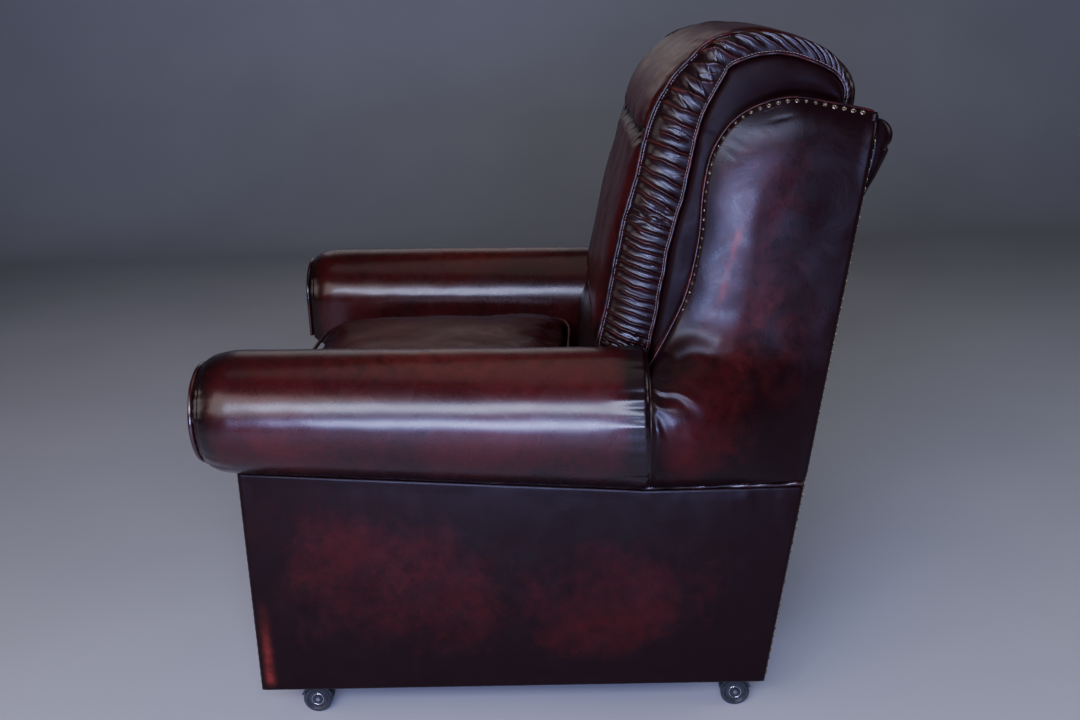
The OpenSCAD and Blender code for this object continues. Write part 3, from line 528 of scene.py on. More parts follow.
def math_node(tree, operation, place, a, b, clamp=False):
    """A Math node whose inputs are sockets or numbers."""
    made = node(tree, "ShaderNodeMath", place, operation=operation, use_clamp=clamp)
    for socket, value in zip(made.inputs, (a, b)):
        if isinstance(value, (int, float)):
            socket.default_value = value
        else:
            tree.links.new(value, socket)
    return made.outputs[0]


def spread(tree, place, value, low_in, high_in, low_out=0.0, high_out=1.0):
    """Maps a value from one range to another, and holds it there."""
    made = node(tree, "ShaderNodeMapRange", place,
                {"From Min": low_in, "From Max": high_in, "To Min": low_out, "To Max": high_out})
    tree.links.new(value, made.inputs["Value"])
    return made.outputs["Result"]


def blend_colour(tree, place, share, a, b):
    """Mixes two colours, sockets or values, by a share."""
    made = node(tree, "ShaderNodeMix", place, data_type="RGBA")
    for socket, value in ((made.inputs["Factor"], share), (made.inputs["A"], a), (made.inputs["B"], b)):
        if isinstance(value, bpy.types.NodeSocket):
            tree.links.new(value, socket)
        else:
            socket.default_value = value
    return made.outputs["Result"]


def hide_grain_group():
    """Pebbled grain and fine creases of a finished hide, as a height."""
    group, start, end = new_group(
        "HideGrain", [("Vector", "Vector", None), ("Pebble Scale", "Float", 700.0), ("Crease", "Float", 0.5)],
        [("Height", "Float")])
    cells = node(group, "ShaderNodeTexVoronoi", (-500, 200), {"Randomness": 1.0}, feature="SMOOTH_F1")
    fine = node(group, "ShaderNodeTexNoise", (-500, -50), {"Scale": 260.0, "Detail": 4.0, "Roughness": 0.6})
    crease = node(group, "ShaderNodeTexNoise", (-500, -300), {"Scale": 46.0, "Detail": 5.0, "Roughness": 0.55,
                                                            "Distortion": 0.8})
    group.links.new(start.outputs["Vector"], cells.inputs["Vector"])
    group.links.new(start.outputs["Pebble Scale"], cells.inputs["Scale"])
    group.links.new(start.outputs["Vector"], fine.inputs["Vector"])
    group.links.new(start.outputs["Vector"], crease.inputs["Vector"])
    pebbles = math_node(group, "MULTIPLY", (-200, 200), cells.outputs["Distance"], 0.30)
    soft = math_node(group, "MULTIPLY", (-200, -50), fine.outputs["Fac"], 0.35)
    folds = math_node(group, "MULTIPLY", (-200, -300), crease.outputs["Fac"], start.outputs["Crease"])
    total = math_node(group, "ADD", (100, 100), math_node(group, "ADD", (0, 100), pebbles, soft), folds)
    group.links.new(total, end.inputs["Height"])
    return group


def rubbed_hide_group():
    """Hand-rubbed colour: a dark finish over red, thinner in clouds, darker where the seam value is high, at seams and
    edges and as painted shade in hollows and under rolls, and bright where it is worn.
    """
    group, start, end = new_group(
        "RubbedHide",
        [("Vector", "Vector", None), ("Deep", "Color", (0, 0, 0, 1)), ("Red", "Color", (1, 0, 0, 1)),
         ("Worn", "Color", (1, 0, 0, 1)), ("Seam", "Float", 0.0), ("Rub", "Float", 0.0),
         ("Redness", "Float", 0.5)],
        [("Color", "Color"), ("Wear", "Float")])
    clouds = node(group, "ShaderNodeTexNoise", (-600, 300), {"Scale": 4.5, "Detail": 4.0, "Roughness": 0.55,
                                                            "Distortion": 0.4})
    mottle = node(group, "ShaderNodeTexNoise", (-600, 50), {"Scale": 48.0, "Detail": 6.0, "Roughness": 0.7})
    flecks = node(group, "ShaderNodeTexNoise", (-600, -200), {"Scale": 420.0, "Detail": 2.0, "Roughness": 0.6})
    for made in (clouds, mottle, flecks):
        group.links.new(start.outputs["Vector"], made.inputs["Vector"])
    cloud = spread(group, (-350, 300), clouds.outputs["Fac"], 0.34, 0.70, -0.20, 0.22)
    small = spread(group, (-350, 50), mottle.outputs["Fac"], 0.30, 0.70, -0.11, 0.11)
    tiny = spread(group, (-350, -200), flecks.outputs["Fac"], 0.35, 0.65, -0.06, 0.06)
    red = math_node(group, "ADD", (-100, 200), math_node(group, "ADD", (-200, 200), cloud, small),
                    start.outputs["Redness"])
    red = math_node(group, "ADD", (50, 200), red, tiny)
    # The seam input darkens the colour towards the deep tone: seams and edges, and painted shade.
    red = math_node(group, "SUBTRACT", (200, 200), red, start.outputs["Seam"], clamp=True)
    base = blend_colour(group, (350, 200), red, start.outputs["Deep"], start.outputs["Red"])
    patch = spread(group, (-100, -100), mottle.outputs["Fac"], 0.38, 0.60, 0.35, 1.0)
    wear = math_node(group, "MULTIPLY", (200, -100), start.outputs["Rub"], patch, clamp=True)
    done = blend_colour(group, (550, 100), wear, base, start.outputs["Worn"])
    group.links.new(done, end.inputs["Color"])
    group.links.new(wear, end.inputs["Wear"])
    return group


def dust_group():
    """Faint pale dust and handling marks: stretched noise cut to its peaks."""
    group, start, end = new_group("HandlingMarks", [("Vector", "Vector", None), ("Amount", "Float", 0.5)],
                                  [("Mask", "Float")])
    smear = node(group, "ShaderNodeTexNoise", (-400, 0), {"Scale": 14.0, "Detail": 8.0, "Roughness": 0.72,
                                                        "Distortion": 1.4})
    group.links.new(start.outputs["Vector"], smear.inputs["Vector"])
    mask = spread(group, (-100, 0), smear.outputs["Fac"], 0.42, 0.72)
    group.links.new(math_node(group, "MULTIPLY", (200, 0), mask, start.outputs["Amount"]), end.inputs["Mask"])
    return group


def group_node(tree, group, place, inputs=None):
    """One node that stands for a node group, with its unlinked values."""
    return node(tree, "ShaderNodeGroup", place, inputs, node_tree=group)


def hide_material(name, groups, redness, grain, gloss=0.0, crease=0.35, polish=0.25, mirror=0.5):
    """Finished leather: rubbed colour, grain relief, uneven gloss and a thin clear coat."""
    f = finish()
    material, tree, shader, place = new_material(name)
    # The seam attribute holds the darker seams and edges, and also painted shade under rolls, in creases and in
    # recesses.
    seam = node(tree, "ShaderNodeAttribute", (-1200, -250), attribute_name="seam").outputs["Fac"]
    rub = node(tree, "ShaderNodeAttribute", (-1200, -450), attribute_name="rub").outputs["Fac"]
    rubbed = group_node(tree, groups["rubbed"], (-800, 200),
                        {"Deep": (*f.deep, 1), "Red": (*f.oxblood, 1), "Worn": (*f.worn, 1), "Redness": redness})
    relief = group_node(tree, groups["grain"], (-800, -300), {"Pebble Scale": grain, "Crease": crease})
    marks = group_node(tree, groups["marks"], (-800, -600), {"Amount": 1.0})
    for made in (rubbed, relief, marks):
        tree.links.new(place, made.inputs["Vector"])
    tree.links.new(seam, rubbed.inputs["Seam"])
    tree.links.new(rub, rubbed.inputs["Rub"])
    tree.links.new(rubbed.outputs["Color"], shader.inputs["Base Color"])
    rough = spread(tree, (-450, -500), marks.outputs["Mask"], 0.0, 1.0, f.gloss + gloss - 0.05, f.gloss + gloss + 0.12)
    tree.links.new(math_node(tree, "ADD", (-250, -400), rough,
                             math_node(tree, "MULTIPLY", (-350, -650), rubbed.outputs["Wear"], 0.06)),
                   shader.inputs["Roughness"])
    bump = node(tree, "ShaderNodeBump", (-300, -200), {"Strength": 0.22, "Distance": 0.0009})
    tree.links.new(relief.outputs["Height"], bump.inputs["Height"])
    tree.links.new(bump.outputs["Normal"], shader.inputs["Normal"])
    set_inputs(shader, {"IOR": 1.40, "Specular IOR Level": mirror, "Coat Weight": polish, "Coat Roughness": 0.22})
    return material


def plain_material(name, groups, base, dark, rough, scale, metal=0.0, bump_depth=0.0004, stretch=(1, 1, 1),
                   coat=0.0):
    """A worked material with grain: two tones mixed by stretched noise, marks in its gloss, and relief."""
    material, tree, shader, place = new_material(name)
    turned = node(tree, "ShaderNodeMapping", (-1000, 0), {"Scale": stretch})
    tree.links.new(place, turned.inputs["Vector"])
    grain = node(tree, "ShaderNodeTexNoise", (-800, 0), {"Scale": scale, "Detail": 6.0, "Roughness": 0.62,
                                                        "Distortion": 0.6})
    tree.links.new(turned.outputs["Vector"], grain.inputs["Vector"])
    marks = group_node(tree, groups["marks"], (-800, -300), {"Amount": 1.0})
    tree.links.new(place, marks.inputs["Vector"])
    tone = spread(tree, (-550, 0), grain.outputs["Fac"], 0.32, 0.68)
    tree.links.new(blend_colour(tree, (-300, 100), tone, (*dark, 1), (*base, 1)), shader.inputs["Base Color"])
    tree.links.new(spread(tree, (-300, -250), marks.outputs["Mask"], 0.0, 1.0, rough, min(1.0, rough + 0.22)),
                   shader.inputs["Roughness"])
    bump = node(tree, "ShaderNodeBump", (-300, -450), {"Strength": 0.5, "Distance": bump_depth})
    tree.links.new(grain.outputs["Fac"], bump.inputs["Height"])
    tree.links.new(bump.outputs["Normal"], shader.inputs["Normal"])
    set_inputs(shader, {"Metallic": metal, "Coat Weight": coat})
    return material


def woven_material(name, groups, light, dark, pitch):
    """Coarse plain weave: two crossed wave patterns give the threads and their relief."""
    material = plain_material(name, groups, light, dark, 0.85, 160.0)
    tree = material.node_tree
    place = tree.nodes["Texture Coordinate"].outputs["Object"]
    heights = []
    for k, axis in enumerate(("X", "Z")):
        threads = node(tree, "ShaderNodeTexWave", (-800, -600 - 250 * k), {"Scale": 1 / pitch / 3.2, "Distortion": 0.6,
                                                                        "Detail": 1.0},
                       wave_type="BANDS", bands_direction=axis)
        tree.links.new(place, threads.inputs["Vector"])
        heights.append(threads.outputs["Fac"])
    weave = math_node(tree, "ADD", (-500, -700), heights[0], heights[1])
    bump = node(tree, "ShaderNodeBump", (-200, -700), {"Strength": 0.7, "Distance": pitch / 4})
    tree.links.new(weave, bump.inputs["Height"])
    tree.links.new(bump.outputs["Normal"], tree.nodes["Principled BSDF"].inputs["Normal"])
    return material


MATERIALS = {}


class ARMCHAIR_OT_materials(bpy.types.Operator):
    """Makes the hides, metals, wood and cloth"""

    bl_idname = "armchair.materials"
    bl_label = "Materials"

    def execute(self, context):
        groups = {"grain": hide_grain_group(), "rubbed": rubbed_hide_group(), "marks": dust_group()}
        MATERIALS.update({
            "arm": hide_material("ArmHide", groups, 0.36, 620.0, crease=0.25, polish=0.50, mirror=0.28),
            "padded": hide_material("PaddedHide", groups, 0.50, 620.0, gloss=0.06, polish=0.02, mirror=0.20),
            "wing": hide_material("WingHide", groups, 0.28, 600.0, gloss=0.04, polish=0.04, mirror=0.22),
            "panel": hide_material("PanelHide", groups, 0.16, 560.0, gloss=0.05, crease=0.25, polish=0.02,
                                   mirror=0.20),
            "shaded": hide_material("ShadedHide", groups, 0.24, 620.0, gloss=0.14, polish=0.0, mirror=0.09),
            "pleated": hide_material("PleatedHide", groups, 0.28, 680.0, gloss=0.03, crease=0.45, polish=0.10,
                                     mirror=0.38),
            "piping": hide_material("PipingHide", groups, 0.22, 800.0, gloss=0.03, polish=0.14, mirror=0.35),
            "welt": hide_material("WeltHide", groups, 0.20, 800.0, gloss=-0.05, polish=0.80, mirror=0.60),
            "thread": plain_material("WaxedThread", groups, (0.30, 0.22, 0.18), (0.16, 0.10, 0.08), 0.5, 900.0),
            "brass": plain_material("AntiqueBrass", groups, finish().brass, (0.035, 0.022, 0.016), 0.30, 300.0,
                                    metal=1.0),
            "wood": plain_material("Beech", groups, (0.50, 0.33, 0.18), (0.30, 0.17, 0.08), 0.6, 26.0,
                                   stretch=(1, 1, 0.12)),
            "steel": plain_material("SpringSteel", groups, (0.42, 0.42, 0.43), (0.22, 0.21, 0.21), 0.32, 120.0,
                                    metal=1.0),
            "foam": plain_material("Foam", groups, (0.72, 0.64, 0.42), (0.58, 0.50, 0.30), 0.95, 500.0,
                                   bump_depth=0.001),
            "cloth": woven_material("BlackCloth", groups, (0.020, 0.020, 0.022), (0.008, 0.008, 0.009), 0.0016),
            "webbing": woven_material("JuteWebbing", groups, (0.36, 0.26, 0.14), (0.22, 0.15, 0.08), 0.003),
            "plastic": plain_material("CasterPlastic", groups, (0.020, 0.020, 0.022), (0.010, 0.010, 0.012), 0.24, 90.0,
                                      bump_depth=0.0001, coat=0.4),
            "tread": plain_material("WheelPlastic", groups, (0.028, 0.028, 0.030), (0.014, 0.014, 0.015), 0.34, 70.0,
                                    bump_depth=0.0002),
            "chrome": plain_material("HubRing", groups, (0.62, 0.62, 0.64), (0.40, 0.40, 0.42), 0.16, 60.0, metal=1.0,
                                     bump_depth=0.00005),
        })
        return {"FINISHED"}


class ARMCHAIR_OT_inner_frame(bpy.types.Operator):
    """Finishes the frame, springs, webbing, foam and casters that the CAD model carries"""

    bl_idname = "armchair.inner_frame"
    bl_label = "Frame and casters"

    def execute(self, context):
        wanted = {
            "wood": ["side_frame_left", "side_frame_right", "front_rail", "back_rail", "lumbar_rail", "top_rail",
                     "corner_blocks"],
            "steel": ["seat_springs", "spring_clips", "caster_sockets", "axle_fl", "axle_fr", "axle_rl", "axle_rr"],
            "webbing": ["back_webbing"],
            "cloth": ["deck_cloth", "dust_cover"],
            "foam": ["pad_core"],
            "plastic": ["caster_body_fl", "caster_body_fr", "caster_body_rl", "caster_body_rr"],
            "tread": ["wheels_fl", "wheels_fr", "wheels_rl", "wheels_rr"],
        }
        for key, names in wanted.items():
            for name in names:
                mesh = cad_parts[name].data
                mesh.materials.clear()
                mesh.materials.append(MATERIALS[key])
        for corner in ("fl", "fr", "rl", "rr"):
            a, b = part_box("wheels_" + corner)
            middle = [(a[k] + b[k]) / 2 for k in range(3)]
            rings, radius = [], 0.0092
            turn = np.linspace(0, 2 * math.pi, 40, endpoint=False)
            for x, side in ((a.x, -1), (b.x, 1)):
                hub = np.stack([np.full(len(turn), x - side * 0.0026), middle[1] + radius * np.cos(turn),
                                middle[2] + radius * np.sin(turn)], 1)
                rings.append(tube(hub, 0.0009, (1, 0, 0), 8, closed=True))
            finish_piece(add_mesh("hub_rings_" + corner, *joined(rings)), MATERIALS["chrome"], [],
                         "wheels_" + corner)
        return {"FINISHED"}


# Arms

def arm_rings(ys, insets, lows, turns=88, wall=12):
    """Cross-sections of an arm: up its inner face, over a half oval, round under it and back along the bottom.
    The oval's points are its middle plus its half sizes times the cosine and sine of an angle."""
    s = shape()
    mid_x, half_x = (s.arm_in + s.arm_out) / 2, (s.arm_out - s.arm_in) / 2
    top, bottom = arm_top(ys)[:, None], roll_low(ys)[:, None]
    cz, rz = (top + bottom) / 2, (top - bottom) / 2 - insets[:, None]
    rx = half_x - insets[:, None]
    a = np.radians(180 - 262 * np.linspace(0, 1, turns))[None, :]
    oval_x, oval_z = mid_x + rx * np.cos(a), cz + rz * np.sin(a)
    foot = (lows + insets)[:, None]
    t = np.linspace(0, 1, wall, endpoint=False)[None, :]
    wall_x = np.broadcast_to(mid_x - rx, (len(ys), wall))
    wall_z = foot + (cz - foot) * t
    under_x = np.linspace(0.85, 0.0, 4)[None, :] * (oval_x[:, -1:] - mid_x) + mid_x
    under_z = foot + (oval_z[:, -1:] - foot) * np.linspace(0.85, 0.0, 4)[None, :]
    x = np.hstack([wall_x, oval_x, under_x])
    z = np.hstack([wall_z, oval_z, under_z])
    y = np.broadcast_to(ys[:, None], x.shape)
    angle = np.hstack([np.full((len(ys), wall), math.pi), np.broadcast_to(a, oval_x.shape),
                       np.full((len(ys), 4), math.radians(-90))])
    return np.stack([x, y, z], -1), angle


def surface_normals(rings):
    """Unit normals of a stack of closed rings, from the cross product of its two directions."""
    n = np.cross(np.roll(rings, -1, 1) - np.roll(rings, 1, 1), np.gradient(rings, axis=0))
    return n / np.maximum(np.linalg.norm(n, axis=-1, keepdims=True), 1e-12)


class ARMCHAIR_OT_arms(bpy.types.Operator):
    """Builds the scroll arms with their facings and piping"""

    bl_idname = "armchair.arms"
    bl_label = "Arms"

    def execute(self, context):
        for side, right in SIDES:
            self.roll(side, right)
            self.facing(side, right)
        return {"FINISHED"}

    def roll(self, side, right):
        """The roll: its sections draw in over a quarter round at the nose, and the hide dimples at its seams."""
        s = shape()
        nose = s.facing_seat + s.nose_depth * (1 - np.cos(np.linspace(0, math.pi / 2, 34)))
        end = s.wing_foot_y + 0.0015
        rest = np.concatenate([np.linspace(nose[-1] + 0.004, s.wing_foot_y - 0.03, 96),
                               np.linspace(s.wing_foot_y - 0.027, end, 14)])
        ys = np.concatenate([nose, rest])
        share = np.clip((ys - s.facing_seat) / s.nose_depth, 0, 1)
        insets = s.nose_inset * (1 - np.sqrt(np.clip(1 - (1 - share) ** 2, 0, 1)))
        body = high("front_border").y
        lows = np.where(ys < body, roll_low(np.full_like(ys, s.base_front)), s.deck + 0.001)
        rings, angle = arm_rings(ys, insets, lows)
        flat = mirrored(rings) if right else rings
        seed = 40 if right else 30
        depth = ys[:, None]
        top = np.sin(angle)
        lift = 0.0005 * ripple(flat * [1, 0.45, 1], 0.21, seed) + 0.00015 * ripple(flat, 0.055, seed + 1)
        seam = bump_at(depth, s.wing_foot_y, 0.0035)
        lift -= 0.0035 * seam
        pull = ripple(np.stack([np.cos(angle), np.sin(angle)], -1) * 0.09, 0.020, seed + 2)
        lift += 0.0016 * pull * bump_at(depth, s.wing_foot_y, 0.035) * (1 - seam)
        lift += 0.0007 * pull * bump_at(depth, s.facing_seat, 0.022)
        stitched = bump_at(depth, s.facing_seat + 0.0078, 0.0016)
        lift -= 0.0009 * stitched
        tuck = np.clip(-top - 0.35, 0, 1) * bump_at(depth, s.facing_seat + 0.026, 0.022)
        lift += 0.0028 * tuck * np.cos(angle * 46 + 3 * pull)
        under = fade(np.clip(rings[..., 2] - roll_low(depth), 0, 1), 0.010)
        lift -= 0.0015 * under * (0.6 + 0.4 * np.cos(depth * 2 * math.pi / 0.031 + 2 * pull))
        hidden = rings[..., 0] < s.arm_in + 0.002
        shaped = rings + surface_normals(rings) * (lift * np.where(hidden, 0.4, 1))[..., None] * self.sense(rings)
        shaped[..., 0] = np.where(hidden, np.maximum(shaped[..., 0], s.arm_in), shaped[..., 0])
        seams = 0.75 * bump_at(depth, s.wing_foot_y, 0.030) + 0.55 * bump_at(depth, s.facing_seat, 0.022)
        # Painted shade: the hide darkens towards the roll's bottom seam and over its underside.
        seams = seams + 0.85 * under + 0.35 * np.clip(-top, 0, 1)
        # The rubbed red along the middle of the arm's top is wear and also a painted warm highlight.
        rub = 0.35 * np.clip(top - 0.72, 0, 1) / 0.28 * bump_at(depth, (s.arm_front + s.wing_foot_y) / 2 + 0.03, 0.15)
        rub = rub + 0.25 * tuck
        points, faces = ringed(mirrored(shaped) if right else shaped)
        fields = {"seam": np.append(seams.ravel(), [1, 1]), "rub": np.append((rub + 0 * angle).ravel(), [0, 0])}
        obj = add_mesh("arm_roll_hide_" + side, points, faces, fields)
        finish_piece(obj, MATERIALS["arm"], ["arm_roll_" + side])

    def sense(self, rings):
        """1 or -1, so that a lift along the grid's normals goes outwards."""
        n = surface_normals(rings)
        middle = rings.mean(axis=1, keepdims=True)
        return 1.0 if ((rings - middle) * n).sum() > 0 else -1.0

    def facing(self, side, right):
        """The facing: the nose's outline shrunk towards its middle by shares, each a step further forward."""
        s = shape()
        ring, _ = arm_rings(np.array([s.facing_seat]), np.array([s.nose_inset]),
                            roll_low(np.array([s.base_front])), turns=150, wall=40)
        ring = ring[0]
        middle = np.array([(s.arm_in + s.arm_out) / 2, s.facing_seat, (s.arm_top + s.seam_front - s.piping) / 2])
        proud = s.facing_seat - s.arm_front
        shares = np.concatenate([[1.0, 1.0], np.cos(np.linspace(0.12, math.pi / 2 - 0.02, 26))])
        steps = np.concatenate([[0, 0.25], np.sqrt(np.clip(1 - shares[2:] ** 6, 0, 1))])
        rings = middle + (ring - middle)[None] * shares[:, None, None]
        rings[..., 1] = s.facing_seat - steps[:, None] * proud
        flat = mirrored(rings) if right else rings
        rings[..., 1] += 0.0009 * ripple(flat, 0.06, 61 if right else 60) * (steps[:, None] > 0.4)
        seams = np.broadcast_to(0.9 * shares[:, None] ** 8, rings.shape[:2])
        points, faces = ringed(mirrored(rings) if right else rings)
        fields = {"seam": np.concatenate([seams.ravel(), [0.3, 0.1]]), "rub": np.zeros(len(points))}
        finish_piece(add_mesh("arm_facing_hide_" + side, points, faces, fields), MATERIALS["arm"],
                     ["arm_facing_" + side])
        loop = evenly(np.vstack([ring, ring[:1]]), 241)[:-1]
        out = loop - middle
        out[:, 1] = 0
        out /= np.linalg.norm(out, axis=1)[:, None]
        loop = loop + out * 0.0026
        loop[:, 1] = s.facing_seat - 0.0030
        thick = s.piping / 2 * (1 + 0.05 * ripple(loop, 0.03, 77))
        points, faces = on_side(*tube(loop, thick, (0, 1, 0), 12, closed=True), right)
        fields = cord_fields(points, (0.3, 0.3, 0.05), (0.08, 0.1, 0.08), 5)
        finish_piece(add_mesh("facing_welt_" + side, points, faces, fields), MATERIALS["welt"],
                     ["facing_piping_" + side])


# Base

def rounded_edge(distance, radius):
    """How far a face falls back near its edge: a quarter circle of the given radius."""
    t = np.clip(1 - distance / radius, 0, 1)
    return radius * (1 - np.sqrt(1 - t * t))


class ARMCHAIR_OT_base(bpy.types.Operator):
    """Builds the leather panels of the base and the outside back"""

    bl_idname = "armchair.base"
    bl_label = "Base panels"

    def execute(self, context):
        for side, right in SIDES:
            self.side(side, right)
        self.front()
        self.back()
        return {"FINISHED"}

    def side(self, side, right):
        """A stretched hide: its face stands out by a low crown, and falls back in a quarter circle at each edge."""
        s = shape()
        u, v = crowded(150)[None, :], crowded(96)[:, None]
        lowest = s.base_clear
        z = lowest + v * (seam_z(s.base_front) - s.piping - lowest) + 0 * u
        y = s.base_front + u * (back_y(z) - s.base_front)
        z = lowest + v * (seam_z(y) - s.piping - lowest)
        y = s.base_front + u * (back_y(z) - s.base_front)
        from_ends = np.minimum(y - s.base_front, back_y(z) - y)
        from_rims = np.minimum(z - lowest, seam_z(y) - s.piping - z)
        edge = np.minimum(from_ends, from_rims)
        place = np.stack([np.full_like(y, -s.base_half if right else s.base_half), y, z], -1)
        seed = 90 if right else 80
        crown = 0.0035 * (1 - np.abs(2 * u - 1) ** 3) * (1 - np.abs(2 * v - 1) ** 3)
        wave = 0.0010 * ripple(place, 0.30, seed) + 0.0003 * ripple(place, 0.07, seed + 1)
        puckers = fade(np.clip(seam_z(y) - z, 0, 1), 0.028) * (0.35 + 0.65 * ease((y - 0.02) / 0.25))
        wave += 0.0011 * puckers * ripple(np.stack([y, 0.25 * z], -1), 0.030, seed + 2)
        nail_pull = fade(from_ends, 0.012) * np.cos(2 * math.pi * z / s.nail_pitch)
        wave += 0.0004 * nail_pull
        x = s.base_half + crown + wave * ease(edge / 0.02)
        x = x - rounded_edge(from_ends, 0.006) - rounded_edge(from_rims, 0.005)
        face = np.stack([x, y, z], -1)
        inner = face.copy()
        beyond = (y < high("front_border").y) | (y > back_y(z) - EDGE_LAP)
        inner[..., 0] = np.where(beyond, s.base_half - 0.0045, s.frame_out + 0.0005)
        seams = 0.75 * fade(edge, 0.030) + 0.25 * fade(edge, 0.09)
        rub = 0.75 * bump_at(y, s.base_front + 0.016, 0.0065) * ease((0.24 - z) / 0.16) * ease((z - 0.07) / 0.02)
        patchy = 0.5 + 0.5 * ripple(place, 0.08, seed + 4)
        rub += 0.08 * bump_at(y, s.base_front + 0.16, 0.16) * bump_at(z, 0.28, 0.10) * patchy
        points, faces = sided_shell(face, inner, right)
        finish_piece(add_mesh("side_panel_hide_" + side, points, faces, sheet_fields(seams, rub)), MATERIALS["panel"],
                     ["side_panel_" + side])
        self.side_welt(side, right, seed)

    def side_welt(self, side, right, seed):
        """The welt under the arm, a little kinked by its stitches."""
        s = shape()
        ys = np.linspace(high("front_border").y - 0.014, back_y(s.seam_rear) - 0.004, 260)
        line = np.stack([np.full_like(ys, s.base_half + 0.0012), ys, seam_z(ys) - s.piping / 2 + 0.0006], 1)
        kink = ripple(line[:, 1:], 0.035, seed + 6) * (0.2 + ease(ys / 0.2))
        line[:, 2] += 0.0009 * kink
        line[:, 0] += 0.0008 * ripple(line[:, 1:], 0.05, seed + 7)
        line[:, 0] -= 0.004 * bump_at(ys, ys[0], 0.008)
        points, faces = tube(mirrored(line) if right else line, s.piping / 2 * (0.80 + 0.08 * kink), (1, 0, 0), 12)
        fields = cord_fields(points, (0.3, 0.3, 0.06), (0.06, 0.1, 0.07), 7)
        finish_piece(add_mesh("side_welt_" + side, points, faces, fields), MATERIALS["welt"],
                     ["side_piping_" + side])

    def front(self):
        """The front border: a band with low ears beside the cushion, crowned between the sides."""
        s = shape()
        half, ear = s.base_half - SIDE_GAP, high("front_border").z
        u, v = crowded(160)[None, :], crowded(60)[:, None]
        x = -half + 2 * half * u + 0 * v
        top = s.deck + (ear - s.deck) * ease((np.abs(x) - s.arm_in + 0.0005) / 0.001)
        z = s.base_clear + v * (top - s.base_clear)
        edge = np.minimum(np.minimum(half - np.abs(x), z - s.base_clear), top - z)
        place = np.stack([x, np.full_like(x, s.base_front), z], -1)
        lift = 0.0045 * (1 - np.abs(2 * u - 1) ** 4) * (1 - np.abs(2 * v - 1) ** 3)
        lift = lift + 0.0008 * ripple(place, 0.22, 101) * ease(edge / 0.02)
        y = s.base_front - lift + rounded_edge(edge, 0.005)
        face = np.stack([x, y, z], -1)
        rear = face.copy()
        rear[..., 1] = high("front_border").y
        points, faces = shell(face, rear)
        seams = 0.8 * fade(edge, 0.030) + 0.2 * fade(edge, 0.1)
        fields = sheet_fields(seams, 0.10 * bump_at(z, 0.30, 0.05))
        finish_piece(add_mesh("front_border_hide", points, faces, fields), MATERIALS["panel"], ["front_border"])

    def back(self):
        """The outside back: one taut hide on the raked plane, tightest along its nailed edges."""
        s = shape()
        half = s.base_half - SIDE_GAP
        top = high("outside_back").z
        u, v = crowded(140)[None, :], crowded(150)[:, None]
        x = -half + 2 * half * u + 0 * v
        z = s.base_clear + v * (top - s.base_clear) + 0 * u
        edge = np.minimum(np.minimum(half - np.abs(x), z - s.base_clear), top - z)
        place = np.stack([x, z], -1)
        lift = 0.0030 * (1 - np.abs(2 * u - 1) ** 4) * (1 - np.abs(2 * v - 1) ** 4)
        lift = lift + (0.0009 * ripple(place, 0.26, 111) + 0.0003 * ripple(place, 0.06, 112)) * ease(edge / 0.03)
        y = back_y(z) + lift - rounded_edge(edge, 0.004)
        face = np.stack([x, y, z], -1)
        inner = face.copy()
        inner[..., 1] = back_y(z) - 0.009
        points, faces = shell(face, inner)
        seams = 0.75 * fade(edge, 0.035) + 0.25 * fade(edge, 0.12)
        finish_piece(add_mesh("outside_back_hide", points, faces, sheet_fields(seams)), MATERIALS["panel"],
                     ["outside_back"])


# Wings

